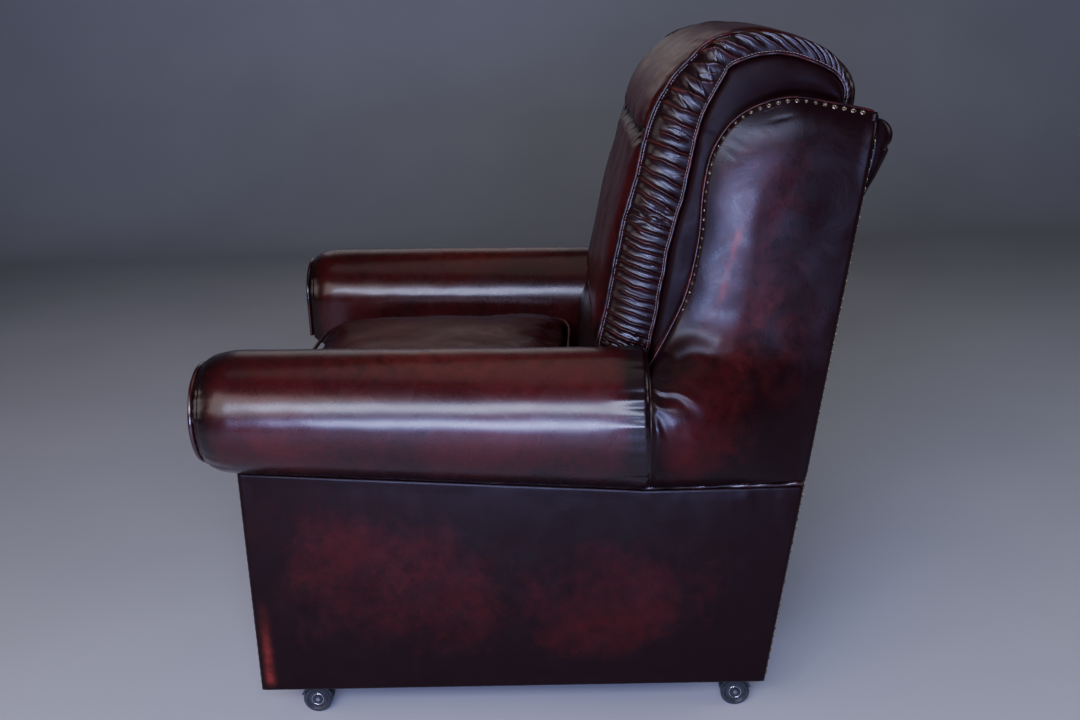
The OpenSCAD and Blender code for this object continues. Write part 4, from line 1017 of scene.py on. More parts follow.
class ARMCHAIR_OT_wings(bpy.types.Operator):
    """Builds the wings with their rims and welts, and the roll at the top of the outside back"""

    bl_idname = "armchair.wings"
    bl_label = "Wings"

    def execute(self, context):
        for side, right in SIDES:
            self.wing(side, right)
            self.rim(side, right)
        self.top_roll()
        return {"FINISHED"}

    def wing(self, side, right):
        """The wing: its face runs out to the arm's roll at the foot seam, is drawn in towards the rim and
        turns over it in a quarter circle. Rows follow the rim upwards, columns run from the rim to the rear."""
        s = shape()
        foot_z = s.wing_top - s.wing_rise
        rim = rim_line(400)
        rim = rim[back_y(rim[:, 1]) - rim[:, 0] > 0.006]
        seam_zs = np.linspace(s.seam_rear, foot_z, 60)[:-1]
        edge = np.vstack([np.stack([np.full_like(seam_zs, s.wing_foot_y), seam_zs], 1), rim])
        edge = evenly(edge, 190)
        k = np.linspace(0, 1, len(edge))
        rear_z = s.seam_rear + (edge[-1, 1] - 0.001 - s.seam_rear) * k**1.15
        rear = np.stack([back_y(rear_z) - 0.0002, rear_z], 1)
        u = crowded(110)[None, :, None]
        p = edge[:, None] + (rear - edge)[:, None] * u
        y, z = p[..., 0], p[..., 1]
        reach = np.linalg.norm(p - edge[:, None], axis=-1)
        to_rear = back_y(z) - y
        top, bottom = arm_top(s.wing_foot_y), roll_low(s.wing_foot_y)
        mid, half = (top + bottom) / 2, (top - bottom) / 2
        roll_mid, roll_half = (s.arm_in + s.arm_out) / 2, (s.arm_out - s.arm_in) / 2

        def past_wing(height):
            """How far the roll's oval stands out past the wing at a height."""
            level = np.clip((height - mid) / half, -1, 1)
            return np.maximum(0, roll_mid + roll_half * np.sqrt(1 - level**2) - s.shell_half)

        bulge = past_wing(z)
        heights = np.linspace(s.seam_rear - 0.2, s.wing_top, 900)
        bell = bump_at(np.arange(-120, 121) * (heights[1] - heights[0]), 0, 0.046)
        softened = np.convolve(past_wing(heights), bell / bell.sum(), "same")
        soft = np.interp(z, heights, softened)
        fuller = (soft + bulge + np.sqrt((soft - bulge) ** 2 + 0.003**2)) / 2
        bulge = bulge + (fuller - bulge) * ease((z - mid) / 0.025) * ease((y - s.wing_foot_y) / 0.045)
        bulge = bulge * (1 - ease((y - s.wing_foot_y - 0.045) / 0.200))
        above = ease((z - foot_z + 0.031) / 0.062)
        drawn = s.rim_draw * above * np.clip(1 - reach / 0.085, 0, 1) ** 2
        place = np.stack([np.full_like(y, -1.0 if right else 1.0) * 0.39, y, z], -1)
        seed = 140 if right else 130
        wave = 0.0013 * ripple(place, 0.24, seed) + 0.0004 * ripple(place, 0.06, seed + 1)
        angle = np.arctan2(z - (foot_z + 0.01), y - s.wing_foot_y + 0.02)
        near = np.exp(-(((y - s.wing_foot_y) ** 2 + (z - foot_z) ** 2) ** 0.5) / 0.050)
        wave += 0.0030 * near * np.cos(angle * 15 + 1.5 * ripple(place, 0.06, seed + 2)) * ease(reach / 0.012)
        foot_seam = bump_at(y, s.wing_foot_y, 0.0045) * (1 - above)
        for cy, cz, size, lean in WING_SCORES:
            across = (y - cy) * math.sin(lean) + (z - cz) * math.cos(lean)
            along = (y - cy) * math.cos(lean) - (z - cz) * math.sin(lean)
            wave -= 0.0006 * bump_at(across, 0, 0.0028) * bump_at(along, 0, size)
        lower = fade(np.clip(z - s.seam_rear, 0, 1), 0.020)
        wave += 0.0012 * lower * ripple(np.stack([y, 0.3 * z], -1), 0.035, seed + 3)
        x = s.shell_half + bulge + wave * ease(to_rear / 0.02) - drawn - 0.0035 * foot_seam
        x = x - rounded_edge(reach, 0.006) * above - rounded_edge(to_rear, 0.007)
        x = x - 0.0025 * fade(np.clip(z - s.seam_rear, 0, 1), 0.006)
        face = np.stack([x, y, z], -1)
        inner = face.copy()
        lip = ease((to_rear - EDGE_LAP) / 0.0004)
        inner[..., 0] = (s.base_half - 0.0050) * (1 - lip) + (s.frame_out + 0.0004) * lip
        inner[..., 0] = np.minimum(inner[..., 0], x - 0.0015)
        # The lower term is painted shade along the wing's bottom, under the roll; the others darken the rim and rear
        # edges.
        seams = 0.70 * fade(reach, 0.016) + 0.65 * fade(to_rear, 0.07) + 0.6 * lower
        streak = bump_at((y - 0.262) - 0.28 * (z - 0.70), 0, 0.0045)
        streak = streak * ease((z - 0.640) / 0.03) * ease((0.775 - z) / 0.03)
        rub = 0.75 * streak * (0.65 + 0.35 * ripple(place, 0.02, seed + 5)) if not right else 0 * y
        rub = rub + 0.18 * bump_at(z, 0.60, 0.09) * bump_at(y, 0.30, 0.06) * (0.5 + 0.5 * ripple(place, 0.05, seed + 6))
        points, faces = sided_shell(face, inner, right)
        finish_piece(add_mesh("wing_hide_" + side, points, faces, sheet_fields(seams, rub)), MATERIALS["wing"],
                     ["wing_" + side])

    def rim(self, side, right):
        """The rim strip follows the wing's edge over the frame's thickness, and a welt runs beside its nails."""
        s = shape()
        path = rim_line(300)
        path = path[back_y(path[:, 1]) - path[:, 0] > 0.004]
        n = outside(path)
        x0, x1 = s.frame_in - 0.001, s.frame_out + 0.0035
        t = np.linspace(0, 1, 26)
        across = x0 + (x1 - x0) * t
        crown = 0.0022 * np.sin(math.pi * t) - 0.004 * np.clip((t - 0.72) / 0.28, 0, 1) ** 2
        size = (len(path), len(across))
        top = path[:, None] + n[:, None] * crown[None, :, None]
        top = np.concatenate([np.broadcast_to(across, size)[..., None], top], -1)
        under = np.broadcast_to((path - n * 0.006)[:, None], (*size, 2))
        under = np.concatenate([np.broadcast_to(across[::-1], size)[..., None], under], -1)
        rings = np.concatenate([top, under], 1)
        points, faces = ringed(mirrored(rings) if right else rings)
        fields = cord_fields(points, (0.55, 0.25, 0.05), (0.10, 0.15, 0.04), 9)
        finish_piece(add_mesh("wing_rim_hide_" + side, points, faces, fields), MATERIALS["piping"],
                     ["wing_rim_" + side])
        cords = []
        outer, inner = s.frame_out + 0.0030, s.shell_half - s.rim_draw + 0.0030
        for depth, x, radius in ((-0.0006, outer, 0.0014), (0.0092, inner, 0.0013)):
            line = path - n * depth
            welt = np.stack([np.full(len(path), x), line[:, 0], line[:, 1]], 1)
            welt[:, 0] += 0.010 * (1 - ease(run_of(path) / 0.05)) * (depth > 0)
            cords.append(tube(welt, radius, (1, 0, 0), 8))
        points, faces = joined(cords)
        fields = cord_fields(points, (0.1, 0.3, 0.05), (0.08, 0.1, 0.03), 11)
        points, faces = on_side(points, faces, right)
        finish_piece(add_mesh("wing_welt_" + side, points, faces, fields), MATERIALS["piping"], [])

    def top_roll(self):
        """The roll across the outside back's top: its profile bulges over a quarter turn and tapers down the back."""
        s = shape()
        a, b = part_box("back_roll")
        radius = 0.031
        centre_z = s.wing_top - s.wing_rise * (1 - RIM_SHARES[-1, 1]) - radius
        half = b.x - 0.0005
        angles = np.radians(np.linspace(-35, 90 - RAKE_DEGREES, 34))
        bulge = np.stack([back_y(centre_z) + radius * np.cos(angles), centre_z + 0.8 * radius * np.sin(angles)], 1)
        rise = np.linspace(a.z, bulge[0, 1], 14)[:-1]
        tail = np.stack([back_y(rise) + 0.0305 * ease(np.linspace(0, 1, 14)[:-1]) ** 1.3, rise], 1)
        profile = smooth_line(np.vstack([tail[::3], bulge[::4], bulge[-1:]]), 8)
        down = np.linspace(high("outside_back").z - 0.004, a.z, 16)[:-1]
        section = np.vstack([profile, np.stack([back_y(down), down], 1)])
        ends = crowded(120)
        x = -half + 2 * half * ends
        base = back_y(section[:, 1])[None, :]
        shrink = 1 - 0.55 * (rounded_edge(np.minimum(x + half, half - x), 0.022) / 0.022)[:, None]
        y = base + (section[None, :, 0] - base) * shrink
        z = np.broadcast_to(section[None, :, 1], y.shape)
        rings = np.stack([np.broadcast_to(x[:, None], y.shape), y, z], -1)
        lift = (0.0012 * ripple(rings, 0.10, 151) + 0.0004 * ripple(rings, 0.03, 152)) * ease((y - base) / 0.012)
        rings[..., 1] += lift
        points, faces = ringed(rings)
        from_ends = np.minimum(x + half, half - x)[:, None]
        # Painted shade: the hide darkens where the roll lies flat on the back, below its bulge; it also darkens towards
        # its ends.
        seams = 0.7 * fade(y - base, 0.008) + 0.5 * fade(from_ends, 0.02)
        seams = np.append(seams.ravel(), [1, 1])
        finish_piece(add_mesh("back_roll_hide", points, faces, {"seam": seams, "rub": np.zeros(len(points))}),
                     MATERIALS["padded"], ["back_roll"])


# Back pad

def nearest_run(path, y, z, chunk=20000):
    """Length along a flat path of the point nearest to each (y, z), worked out in chunks."""
    runs, places, found = run_of(path), np.stack([y, z], 1), []
    for first in range(0, len(places), chunk):
        gaps = np.linalg.norm(places[first:first + chunk, None] - path[None], axis=-1)
        found.append(runs[gaps.argmin(1)])
    return np.concatenate(found)


class ARMCHAIR_OT_back_pad(bpy.types.Operator):
    """Builds the back pad: its front, pleated borders, sides, pipings and buttons"""

    bl_idname = "armchair.back_pad"
    bl_label = "Back pad"

    def execute(self, context):
        self.front()
        self.lower()
        for side, right in SIDES:
            self.border(side, right)
            self.side(side, right)
        self.pipings()
        self.buttons()
        return {"FINISHED"}

    def button_places(self):
        """Places of the buttons across the pad, evenly shared over its width."""
        return shape().pad_half * 2 * ((np.arange(BUTTONS) + 0.5) / BUTTONS - 0.5)

    def pull_run(self):
        """Length along the front line at the pulled line's height."""
        line = pad_line()
        up = line[: len(line) // 2]
        return float(np.interp(shape().pull_height, up[:, 1], run_of(up)))

    def front(self):
        """The front and head roll: a crowned sheet along the piping's line, blown up as cloth, with the pulled
        line pressed in afterwards and gathers that fade away from it."""
        s = shape()
        line = pad_line(150)
        n = outside(line)
        x = (2 * crowded(76) - 1) * s.pad_half
        share = np.linspace(0, 1, len(line))[:, None]
        crown = 0.010 * (1 - (x / s.pad_half)[None] ** 4) * (1 - share / 3)
        face = np.stack([np.broadcast_to(x, crown.shape), line[:, None, 0] + n[:, None, 0] * crown,
                         line[:, None, 1] + n[:, None, 1] * crown], -1)
        inside = line - n * 0.055
        inside[0] = [line[0, 0] + 0.055, line[0, 1]]
        rear = np.stack([np.broadcast_to(x, crown.shape), np.broadcast_to(inside[:, None, 0], crown.shape),
                         np.broadcast_to(inside[:, None, 1], crown.shape)], -1)
        obj = add_mesh("pad_front_hide", *shell(face, rear))
        swell(obj, CLOTH_VOXEL, 4.0, 0.007)
        refine(obj)
        co = points_of(obj.data)
        run = nearest_run(pad_line(), co[:, 1], co[:, 2])
        pull = self.pull_run()
        outward = normals_of(obj.data)
        run_grid = run_of(pad_line())
        nx = np.interp(run, run_grid, outside(pad_line())[:, 0])
        nz = np.interp(run, run_grid, outside(pad_line())[:, 1])
        faces_out = np.clip((outward[:, 1] * nx + outward[:, 2] * nz) * 2.0 - 0.4, 0, 1)
        channel = bump_at(run, pull, 0.011)
        away = np.abs(run - pull)
        to_button = np.abs(co[:, :1] - self.button_places()[None]).min(1)
        fan = fade(to_button, 0.030) * fade(away, 0.020)
        gathers = 0.5 * fan * ripple(np.stack([co[:, 0], 0.12 * run], 1), 0.020, 171)
        dimple = np.exp(-(to_button**2 + away**2) / 0.022**2)
        edge = s.pad_half - np.abs(co[:, 0])
        folds = fade(edge, 0.040) * fade(away, 0.024) * np.cos(2 * math.pi * (run - pull) / 0.017 + 14 * edge)
        corner = fade(edge, 0.045) * bump_at(run, 0.43, 0.075)
        top_gather = corner * ripple(np.stack([run, 0.15 * edge], 1), 0.024, 172)
        soft = 0.0016 * ripple(co, 0.16, 173) + 0.0002 * ripple(co, 0.05, 174)
        height = -0.010 * channel - 0.009 * dimple + 0.0032 * gathers + 0.0035 * top_gather + 0.0022 * folds + soft
        push(obj, faces_out * height * ease(edge / 0.012))
        co = points_of(obj.data)
        # Painted shade: the hide darkens in the pulled channel, in the button dimples, where it turns away from the
        # front and low at the pad's foot; the edge term darkens the seam by the piping.
        seams = 0.8 * fade(edge, 0.014) + 0.55 * channel + 0.4 * dimple
        seams += np.clip(1 - faces_out, 0, 1) * 0.5 + 0.4 * fade(run, 0.04)
        rub = 0.30 * np.clip(gathers, 0, 1) + 0.35 * np.clip(top_gather, 0, 1) + 0.30 * np.clip(folds, 0, 1)
        set_fields(obj.data, {"seam": seams, "rub": np.clip(rub, 0, 1)})
        finish_piece(obj, MATERIALS["padded"], ["pad_front"])

    def lower(self):
        """The panel that carries the pad's face down between the arms to the deck."""
        s = shape()
        half = s.arm_in - 0.001
        a = low("pad_lower")
        foot = pad_line()[0]
        x = (2 * crowded(60) - 1) * half
        v = np.linspace(0, 1, 40)[:, None]
        z = a.z + (foot[1] - a.z) * v + 0 * x
        y = a.y + (foot[0] - a.y) * ease((z - a.z - 0.14) / 0.10)
        face = np.stack([np.broadcast_to(x, z.shape), y, z], -1)
        rear = face.copy()
        rear[..., 1] += 0.05
        points, faces = shell(face, rear)
        # Painted shade: the whole panel is darkened evenly, down between the arms.
        fields = {"seam": np.full(len(points), 0.7), "rub": np.zeros(len(points))}
        finish_piece(add_mesh("pad_lower_hide", points, faces, fields),
                     MATERIALS["panel"], ["pad_lower"])

    def border(self, side, right):
        """The ruched border: a quarter-round band from the front piping to the rear one. A pleat's number is the
        count up to a place along the band that slides further on towards the rear piping, most of all over the
        head. Each pleat is a thin bell on a broad low one, with its own height and its own two ends."""
        s = shape()
        rows, cols = 1000, 44
        front = pad_line(rows)
        rear = rear_line(front)
        run = run_of(front)[:, None]
        u = np.linspace(0, 1, cols)[None, :]
        place = np.stack([run + 0 * u, 0.07 * u + 0 * run], -1)
        seed = 220 if right else 200
        slide = np.interp(run, *PLEAT_SLIDE)
        wander = 0.0022 * ripple(place, 0.060, seed + 1) + 0.0009 * ripple(place, 0.025, seed + 2)
        at = run - slide * u + wander * np.sin(math.pi * u)
        grid = np.linspace(-0.12, 0.80, 2000)
        pitch = np.interp(grid, *PLEAT_PITCH)
        pitch = pitch * (1 + 0.22 * ripple(grid[:, None], 0.030, seed + 3))
        count = np.concatenate([[0], np.cumsum(np.diff(grid) / pitch[:-1])])
        phase = np.interp(at, grid, count)
        k = np.floor(phase).astype(int)
        p = phase - k - 0.5
        rng = np.random.default_rng(seed + 4)
        tall, begin, stop = rng.uniform(0.6, 1.15, 400), rng.uniform(-0.9, 0.25, 400), rng.uniform(0.80, 2.0, 400)
        reach = ease((u - begin[k]) / 0.22) * ease((stop[k] - u) / 0.22)
        thin = np.exp(-np.abs(p / np.where(p < 0, 0.125, 0.085)) ** 1.6)
        broad = np.exp(-((p / 0.30) ** 2))
        extra_phase = phase + 0.5 + 0.18 * ripple(place, 0.05, seed + 5)
        extra = np.exp(-(((extra_phase - np.floor(extra_phase) - 0.5) / 0.075) ** 2))
        extra = extra * np.clip(ripple(place * [1, 0.5], 0.035, seed + 6) - 0.10, 0, 1)
        ends = np.sin(math.pi * np.clip(0.13 + 0.74 * u, 0, 1)) ** 0.7
        over = ease((run - 0.50) / 0.07)
        depth = 0.0042 * (1 + 0.25 * bump_at(run, 0.0, 0.05)) * (1 - 0.45 * over)
        depth = depth * (1 - 0.85 * ease((run - run[-1] * 0.86) / 0.06))
        pleat = depth * tall[k] * reach * (0.80 * thin + 0.34 * broad) * ends + 0.35 * depth * extra * ends
        knot = bump_at(run - 0.012 * u, 0.203, 0.011)
        pinch = 0.0040 * knot * ripple(place * [1, 0.6], 0.022, seed + 7) * ends - 0.0020 * knot * ends
        foot = 0.0016 * bump_at(run, 0.012, 0.022) * ripple(place, 0.014, seed + 8) * ends
        forked = np.clip(bump_at(run, 0.405, 0.050) * bump_at(u, 0.45, 0.33), 0, 1)
        fork_phase = (run + 0.030 * u) / 0.021
        fork = 0.0016 * forked * np.exp(-(((fork_phase - np.floor(fork_phase) - 0.5) / 0.14) ** 2))
        base = front[:, None] + (rear - front)[:, None] * u[..., None]
        n = outside(front)[:, None]
        head = ease((run - 0.40) / 0.10) * (1 - 0.75 * ease((run - 0.60) / 0.07))
        round_x = s.pad_half + s.bulge * np.sqrt(1 - (1 - u) ** 2.2)
        turn = (math.pi / 2) * u**0.8
        lift = pleat + pinch + foot + fork + 0.0030 * np.sin(math.pi * u) - 0.0020
        raised = lift * np.cos(turn) + 0.0105 * head * np.sin(math.pi * u) ** 0.8
        x = np.minimum(round_x + lift * np.sin(turn), s.frame_in + 0.0025)
        face = np.stack([x, base[..., 0] + n[..., 0] * raised, base[..., 1] + n[..., 1] * raised], -1)
        inner = np.stack([np.full_like(x, s.pad_half + 0.0005), base[..., 0] + 0 * x, base[..., 1] + 0 * x], -1)
        points, faces = sided_shell(face, inner, right)
        crest = np.clip((0.72 * thin * tall[k] * reach + 0.5 * extra) * ends, 0, 1)
        # Painted shade: the valleys between the pleats and the pinched knot are darker; the ends by the pipings darken
        # at the seams.
        seams = 0.50 * (1 - crest) + 0.5 * fade(u, 0.04) + 0.35 * fade(1 - u, 0.04) + 0.4 * knot
        rub = 0.60 * crest * (0.65 + 0.35 * ripple(place, 0.05, seed + 9)) * (1 - 0.6 * u)
        finish_piece(add_mesh("pleated_border_hide_" + side, points, faces, sheet_fields(seams, rub)),
                     MATERIALS["pleated"], ["pleated_border_" + side])

    def side(self, side, right):
        """The smooth side of the pad behind the rear piping, slightly crowned, with one crease at the pulled line."""
        s = shape()
        line = rear_line(pad_line(200))
        line = np.vstack([line, line[-1] + (line[-1] - line[-2]) * 2])
        u = np.linspace(0, 1, 34)[None, :]
        inward = np.stack([np.maximum(line[:, 0], s.wing_foot_y), line[:, 1]], 1)
        spine_z = np.clip(inward[:, 1] - 0.02, s.wing_top - s.wing_rise + 0.005, 0.86)
        spine = np.stack([np.minimum(back_y(spine_z) - 0.036, 0.40 + 0 * spine_z), spine_z], 1)
        p = inward[:, None] + (spine - inward)[:, None] * u[..., None]
        y, z = p[..., 0], p[..., 1]
        place = np.stack([np.full_like(y, -0.33 if right else 0.33), y, z], -1)
        crown = 0.0045 * np.sin(math.pi * np.clip(u * 2.2, 0, 1)) + 0.0008 * ripple(place, 0.09, 231)
        pulled = bump_at(z - (s.pull_height + 0.002) + 0.35 * (y - 0.24), 0, 0.008) * bump_at(y, 0.235, 0.022)
        x = s.frame_in - 0.0065 + crown - 0.0020 * pulled - rounded_edge(u * 0.2, 0.010)
        x = np.minimum(x, s.frame_in - 0.0006)
        face = np.stack([x, y, z], -1)
        inner = face.copy()
        inner[..., 0] = s.pad_half + 0.0008
        points, faces = sided_shell(face, inner, right)
        # Painted shade: the whole side is darkened for the shade between the border and the wing, most next to the
        # border and in the crease, less near the top.
        seams = 0.80 + 0.2 * fade(u, 0.1) + 0.2 * pulled - 0.35 * ease((z - 0.87) / 0.07)
        finish_piece(add_mesh("pad_side_hide_" + side, points, faces, sheet_fields(seams)), MATERIALS["shaded"],
                     ["pad_side_" + side])

    def pipings(self):
        """Two cords on each side follow the border's edges, each beside a row of waxed stitches."""
        s = shape()
        front = pad_line(420)
        rear = rear_line(front)
        r = s.piping / 2
        cut = rear[:, 1] > s.wing_top - s.wing_rise + 0.012
        rows = (("front", front, s.pad_half + r * 0.50, r * 0.50), ("rear", rear[cut], s.pad_half + s.bulge, r * 0.2))
        for name, line, x, out in rows:
            n = outside(line)
            path = np.stack([np.full(len(line), x), line[:, 0] + n[:, 0] * out, line[:, 1] + n[:, 1] * out], 1)
            path += 0.0006 * np.stack([ripple(line, 0.03, 241), ripple(line, 0.035, 242), ripple(line, 0.04, 243)], 1)
            beside = n * (-0.0030 if name == "front" else 0.0030)
            row = path + np.stack([np.full(len(line), 0.0014), beside[:, 0], beside[:, 1]], 1)
            stitch = np.array([0, 0.0018, 0.0036])
            starts = np.arange(0.004, run_of(row)[-1] - 0.006, 0.0046)
            stitches = [tube(at_runs(row, start + stitch), 0.0005, (1, 0, 0), 6) for start in starts]
            points, faces = both_sides(*tube(path, r * (0.66 + 0.05 * ripple(line, 0.02, 244)), (1, 0, 0), 12))
            fields = cord_fields(points, (0.2, 0.25, 0.05), (0.05, 0.1, 0.03), 245)
            finish_piece(add_mesh(f"pad_welt_{name}", points, faces, fields), MATERIALS["piping"],
                         ["pad_piping_" + name])
            points, faces = both_sides(*joined(stitches))
            finish_piece(add_mesh(f"pad_stitches_{name}", points, faces), MATERIALS["thread"], [])

    def buttons(self):
        """Covered buttons in the pulled line: a low dome closed at its pole, pinched at its rim."""
        pull = self.pull_run()
        line = pad_line()
        centre = at_runs(line, np.array([pull]))[0]
        k = int(np.abs(run_of(line) - pull).argmin())
        out = outside(line)[k]
        up = np.array([-out[1], out[0]])
        parts = []
        turn = np.linspace(0, 2 * math.pi, 28, endpoint=False)
        radii = np.array([0.0096, 0.0108, 0.0111, 0.0102, 0.0078, 0.0044, 0.0014])
        heights = np.array([-0.0030, -0.0012, 0.0010, 0.0032, 0.0048, 0.0058, 0.0061])
        for x in self.button_places():
            ring = radii[:, None] * np.stack([np.cos(turn), np.sin(turn)], 0)[:, None, :]
            px = x + ring[0]
            py, pz = (centre[k] + up[k] * ring[1] + out[k] * (heights[:, None] - 0.004) for k in (0, 1))
            parts.append(ringed(np.stack([px, py, pz], -1)))
        points, faces = joined(parts)
        fields = {"seam": np.full(len(points), 0.35), "rub": np.full(len(points), 0.2)}
        finish_piece(add_mesh("pad_button_covers", points, faces, fields), MATERIALS["piping"], ["pad_buttons"])


# Seat cushion

class ARMCHAIR_OT_seat_cushion(bpy.types.Operator):
    """Builds the loose seat cushion with its piped seams"""

    bl_idname = "armchair.seat_cushion"
    bl_label = "Seat cushion"

    def execute(self, context):
        a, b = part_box("seat_cushion")
        half_x, half_y, mid_y = b.x, (b.y - a.y) / 2, (a.y + b.y) / 2
        edge_z = a.z + 0.140
        turn = np.linspace(0, 2 * math.pi, 160, endpoint=False)
        c, sn = np.cos(turn), np.sin(turn)
        e = (np.abs(c) ** 7 + np.abs(sn) ** 7) ** (-1 / 7)
        draw = 0.007 * (1 - (np.minimum(np.abs(c), np.abs(sn)) * e) ** 2)

        def ring(shrink, z, share=1.0):
            """A rounded rectangle whose sides pull in between its corners."""
            x = (half_x - draw - shrink) * share * c * e
            y = mid_y + (half_y - draw - shrink) * share * sn * e
            return np.stack([x, y, np.broadcast_to(z, x.shape)], -1)

        def crown(p):
            """Height of the cushion's crown over its edge: nothing at the edge and most in the middle."""
            return 0.030 * (1 - (p[:, 0] / half_x) ** 2) * (1 - ((p[:, 1] - mid_y) / half_y) ** 2)

        rings = [ring(0.008, a.z + 0.001, k) for k in (0.15, 0.4, 0.65, 0.85, 1.0)]
        rings += [ring(0.004 - 0.003 * math.sin(math.pi * t), a.z + 0.006 + t * 0.128) for t in np.linspace(0, 1, 12)]
        for k in (1.0, 0.94, 0.86, 0.76, 0.64, 0.5, 0.35, 0.2, 0.08):
            p = ring(0.008, edge_z, k)
            p[:, 2] += crown(p)
            rings.append(p)
        points, faces = ringed(np.array(rings))
        obj = add_mesh("seat_cushion_hide", points, faces)
        swell(obj, CLOTH_VOXEL, 3.5, 0.010)
        refine(obj)
        co = points_of(obj.data)
        co[:, 2] = np.maximum(co[:, 2], a.z)
        co[:, 0] = np.clip(co[:, 0], -half_x, half_x)
        co[:, 1] = np.clip(co[:, 1], a.y - 0.012, b.y)
        move_points(obj, co)
        edge = np.minimum(half_x - np.abs(co[:, 0]), half_y - np.abs(co[:, 1] - mid_y))
        top = ease((co[:, 2] - edge_z + 0.02) / 0.03)
        height = 0.0018 * ripple(co, 0.14, 261) + 0.0003 * ripple(co, 0.05, 262)
        height += 0.0015 * top * fade(edge, 0.04) * ripple(co[:, :2], 0.03, 263)
        push(obj, height * ease((co[:, 2] - a.z) / 0.01))
        co = points_of(obj.data)
        co[:, 0] = np.clip(co[:, 0], -half_x, half_x)
        co[:, 1] = np.minimum(co[:, 1], b.y)
        co[:, 2] = np.maximum(co[:, 2], a.z)
        move_points(obj, co)
        # Painted shade: the cushion's sides are darker than its top; the edge term darkens its seams.
        seams = 0.6 * fade(np.abs(edge), 0.025) + 0.3 * (1 - top)
        rub = 0.25 * top * bump_at(co[:, 0], 0, 0.12) * bump_at(co[:, 1], mid_y - 0.05, 0.12)
        set_fields(obj.data, {"seam": seams, "rub": rub})
        finish_piece(obj, MATERIALS["padded"], ["seat_cushion"], "cushion")
        welts = []
        for z in (a.z + 0.007, edge_z - 0.004):
            path = ring(0.0045, z)
            welts.append(tube(path, 0.0032, (0, 0, 1), 10, closed=True))
        points, faces = joined(welts)
        fields = cord_fields(points, (0.2, 0.2, 0.06), (0.25, 0.25, 0.05), 264)
        finish_piece(add_mesh("cushion_welts", points, faces, fields), MATERIALS["piping"], [],
                     "cushion")
        return {"FINISHED"}


# Nails

def nail_domes(places, normals, diameter, seed):
    """Low domes: rings whose radius falls as a cosine while the height rises as a sine, each a little askew."""
    rng = np.random.default_rng(seed)
    count = len(places)
    n = normals + rng.normal(scale=0.05, size=(count, 3))
    n /= np.linalg.norm(n, axis=1)[:, None]
    ref = np.where(np.abs(n[:, :1]) < 0.9, [[1.0, 0, 0]], [[0, 0, 1.0]])
    u = np.cross(n, ref)
    u /= np.linalg.norm(u, axis=1)[:, None]
    v = np.cross(n, u)
    sides, levels = 10, ((0.92, -0.16), (1.0, 0.0), (0.86, 0.28), (0.50, 0.46))
    a = np.linspace(0, 2 * math.pi, sides, endpoint=False)
    r = diameter / 2 * rng.uniform(0.95, 1.05, count)
    rings = []
    for share, rise in levels:
        rings.append(places[:, None] + r[:, None, None] * (
            share * (np.cos(a)[None, :, None] * u[:, None] + np.sin(a)[None, :, None] * v[:, None])
            + rise * n[:, None]))
    rings = np.stack(rings, 1)
    base, tip = places - n * (r * 0.16)[:, None], places + n * (r * 0.53)[:, None]
    points = np.concatenate([rings.reshape(count, -1, 3), base[:, None], tip[:, None]], 1)
    walls = grid_quads(len(levels), sides, close_cols=True)
    j, last = np.arange(sides), (len(levels) - 1) * sides
    low_end = np.full(sides, last + sides)
    high_end = low_end + 1
    low_cap = np.stack([low_end, (j + 1) % sides, j, low_end], 1)
    high_cap = np.stack([high_end, last + j, last + (j + 1) % sides, high_end], 1)
    single = sealed(points[0], np.vstack([walls, low_cap, high_cap]))
    faces = (single[None] + (np.arange(count) * points.shape[1])[:, None, None]).reshape(-1, 4)
    return points.reshape(-1, 3), faces


class ARMCHAIR_OT_nails(bpy.types.Operator):
    """Drives the nails along the rims, the rear edges and the front edges"""

    bl_idname = "armchair.nails"
    bl_label = "Nails"

    def execute(self, context):
        s = shape()
        rim = rim_line(400)
        rim = rim[back_y(rim[:, 1]) - rim[:, 0] > 0.008]
        normal = outside(rim)
        runs = run_of(rim)
        at = np.arange(s.nail_pitch, runs[-1] - 0.004, s.nail_pitch)
        p, n = at_runs(rim, at), np.stack([np.interp(at, runs, normal[:, k]) for k in (0, 1)], 1)
        tilt = math.radians(58)
        spots = np.column_stack([np.full(len(at), s.frame_out + 0.0056), p - n * 0.0042])
        ways = np.column_stack([np.full(len(at), math.sin(tilt)), n * math.cos(tilt)])
        self.row("wing_nail_heads", spots, ways, "wing_nails", WING_NAIL, 301)
        top = high("rear_nails").z - 0.005
        rake = math.atan(s.rake)
        zs = np.arange(s.base_clear + s.nail_pitch, top, s.nail_pitch * math.cos(rake))
        spots = np.stack([np.full(len(zs), high("rear_nails").x - 0.004), back_y(zs) + 0.0004, zs], 1)
        ways = np.broadcast_to([0.25, math.cos(rake), -math.sin(rake)], spots.shape)
        self.row("rear_nail_heads", spots, ways, "rear_nails", EDGE_NAIL, 302)
        zs = np.arange(s.base_clear + s.nail_pitch, high("front_border").z - 0.004, s.nail_pitch)
        spots = np.stack([np.full(len(zs), high("front_nails").x - 0.004),
                          np.full(len(zs), s.base_front + 0.0006), zs], 1)
        ways = np.broadcast_to([0.25, -1.0, 0.0], spots.shape)
        self.row("front_nail_heads", spots, ways, "front_nails", EDGE_NAIL, 303)
        return {"FINISHED"}

    def row(self, name, spots, ways, cad_node, diameter, seed):
        """One row of nails on each side."""
        left = nail_domes(spots, ways, diameter, seed)
        other = nail_domes(spots, ways, diameter, seed + 50)
        points, faces = joined([left, on_side(*other, True)])
        finish_piece(add_mesh(name, points, faces), MATERIALS["brass"], [cad_node])


# Stage

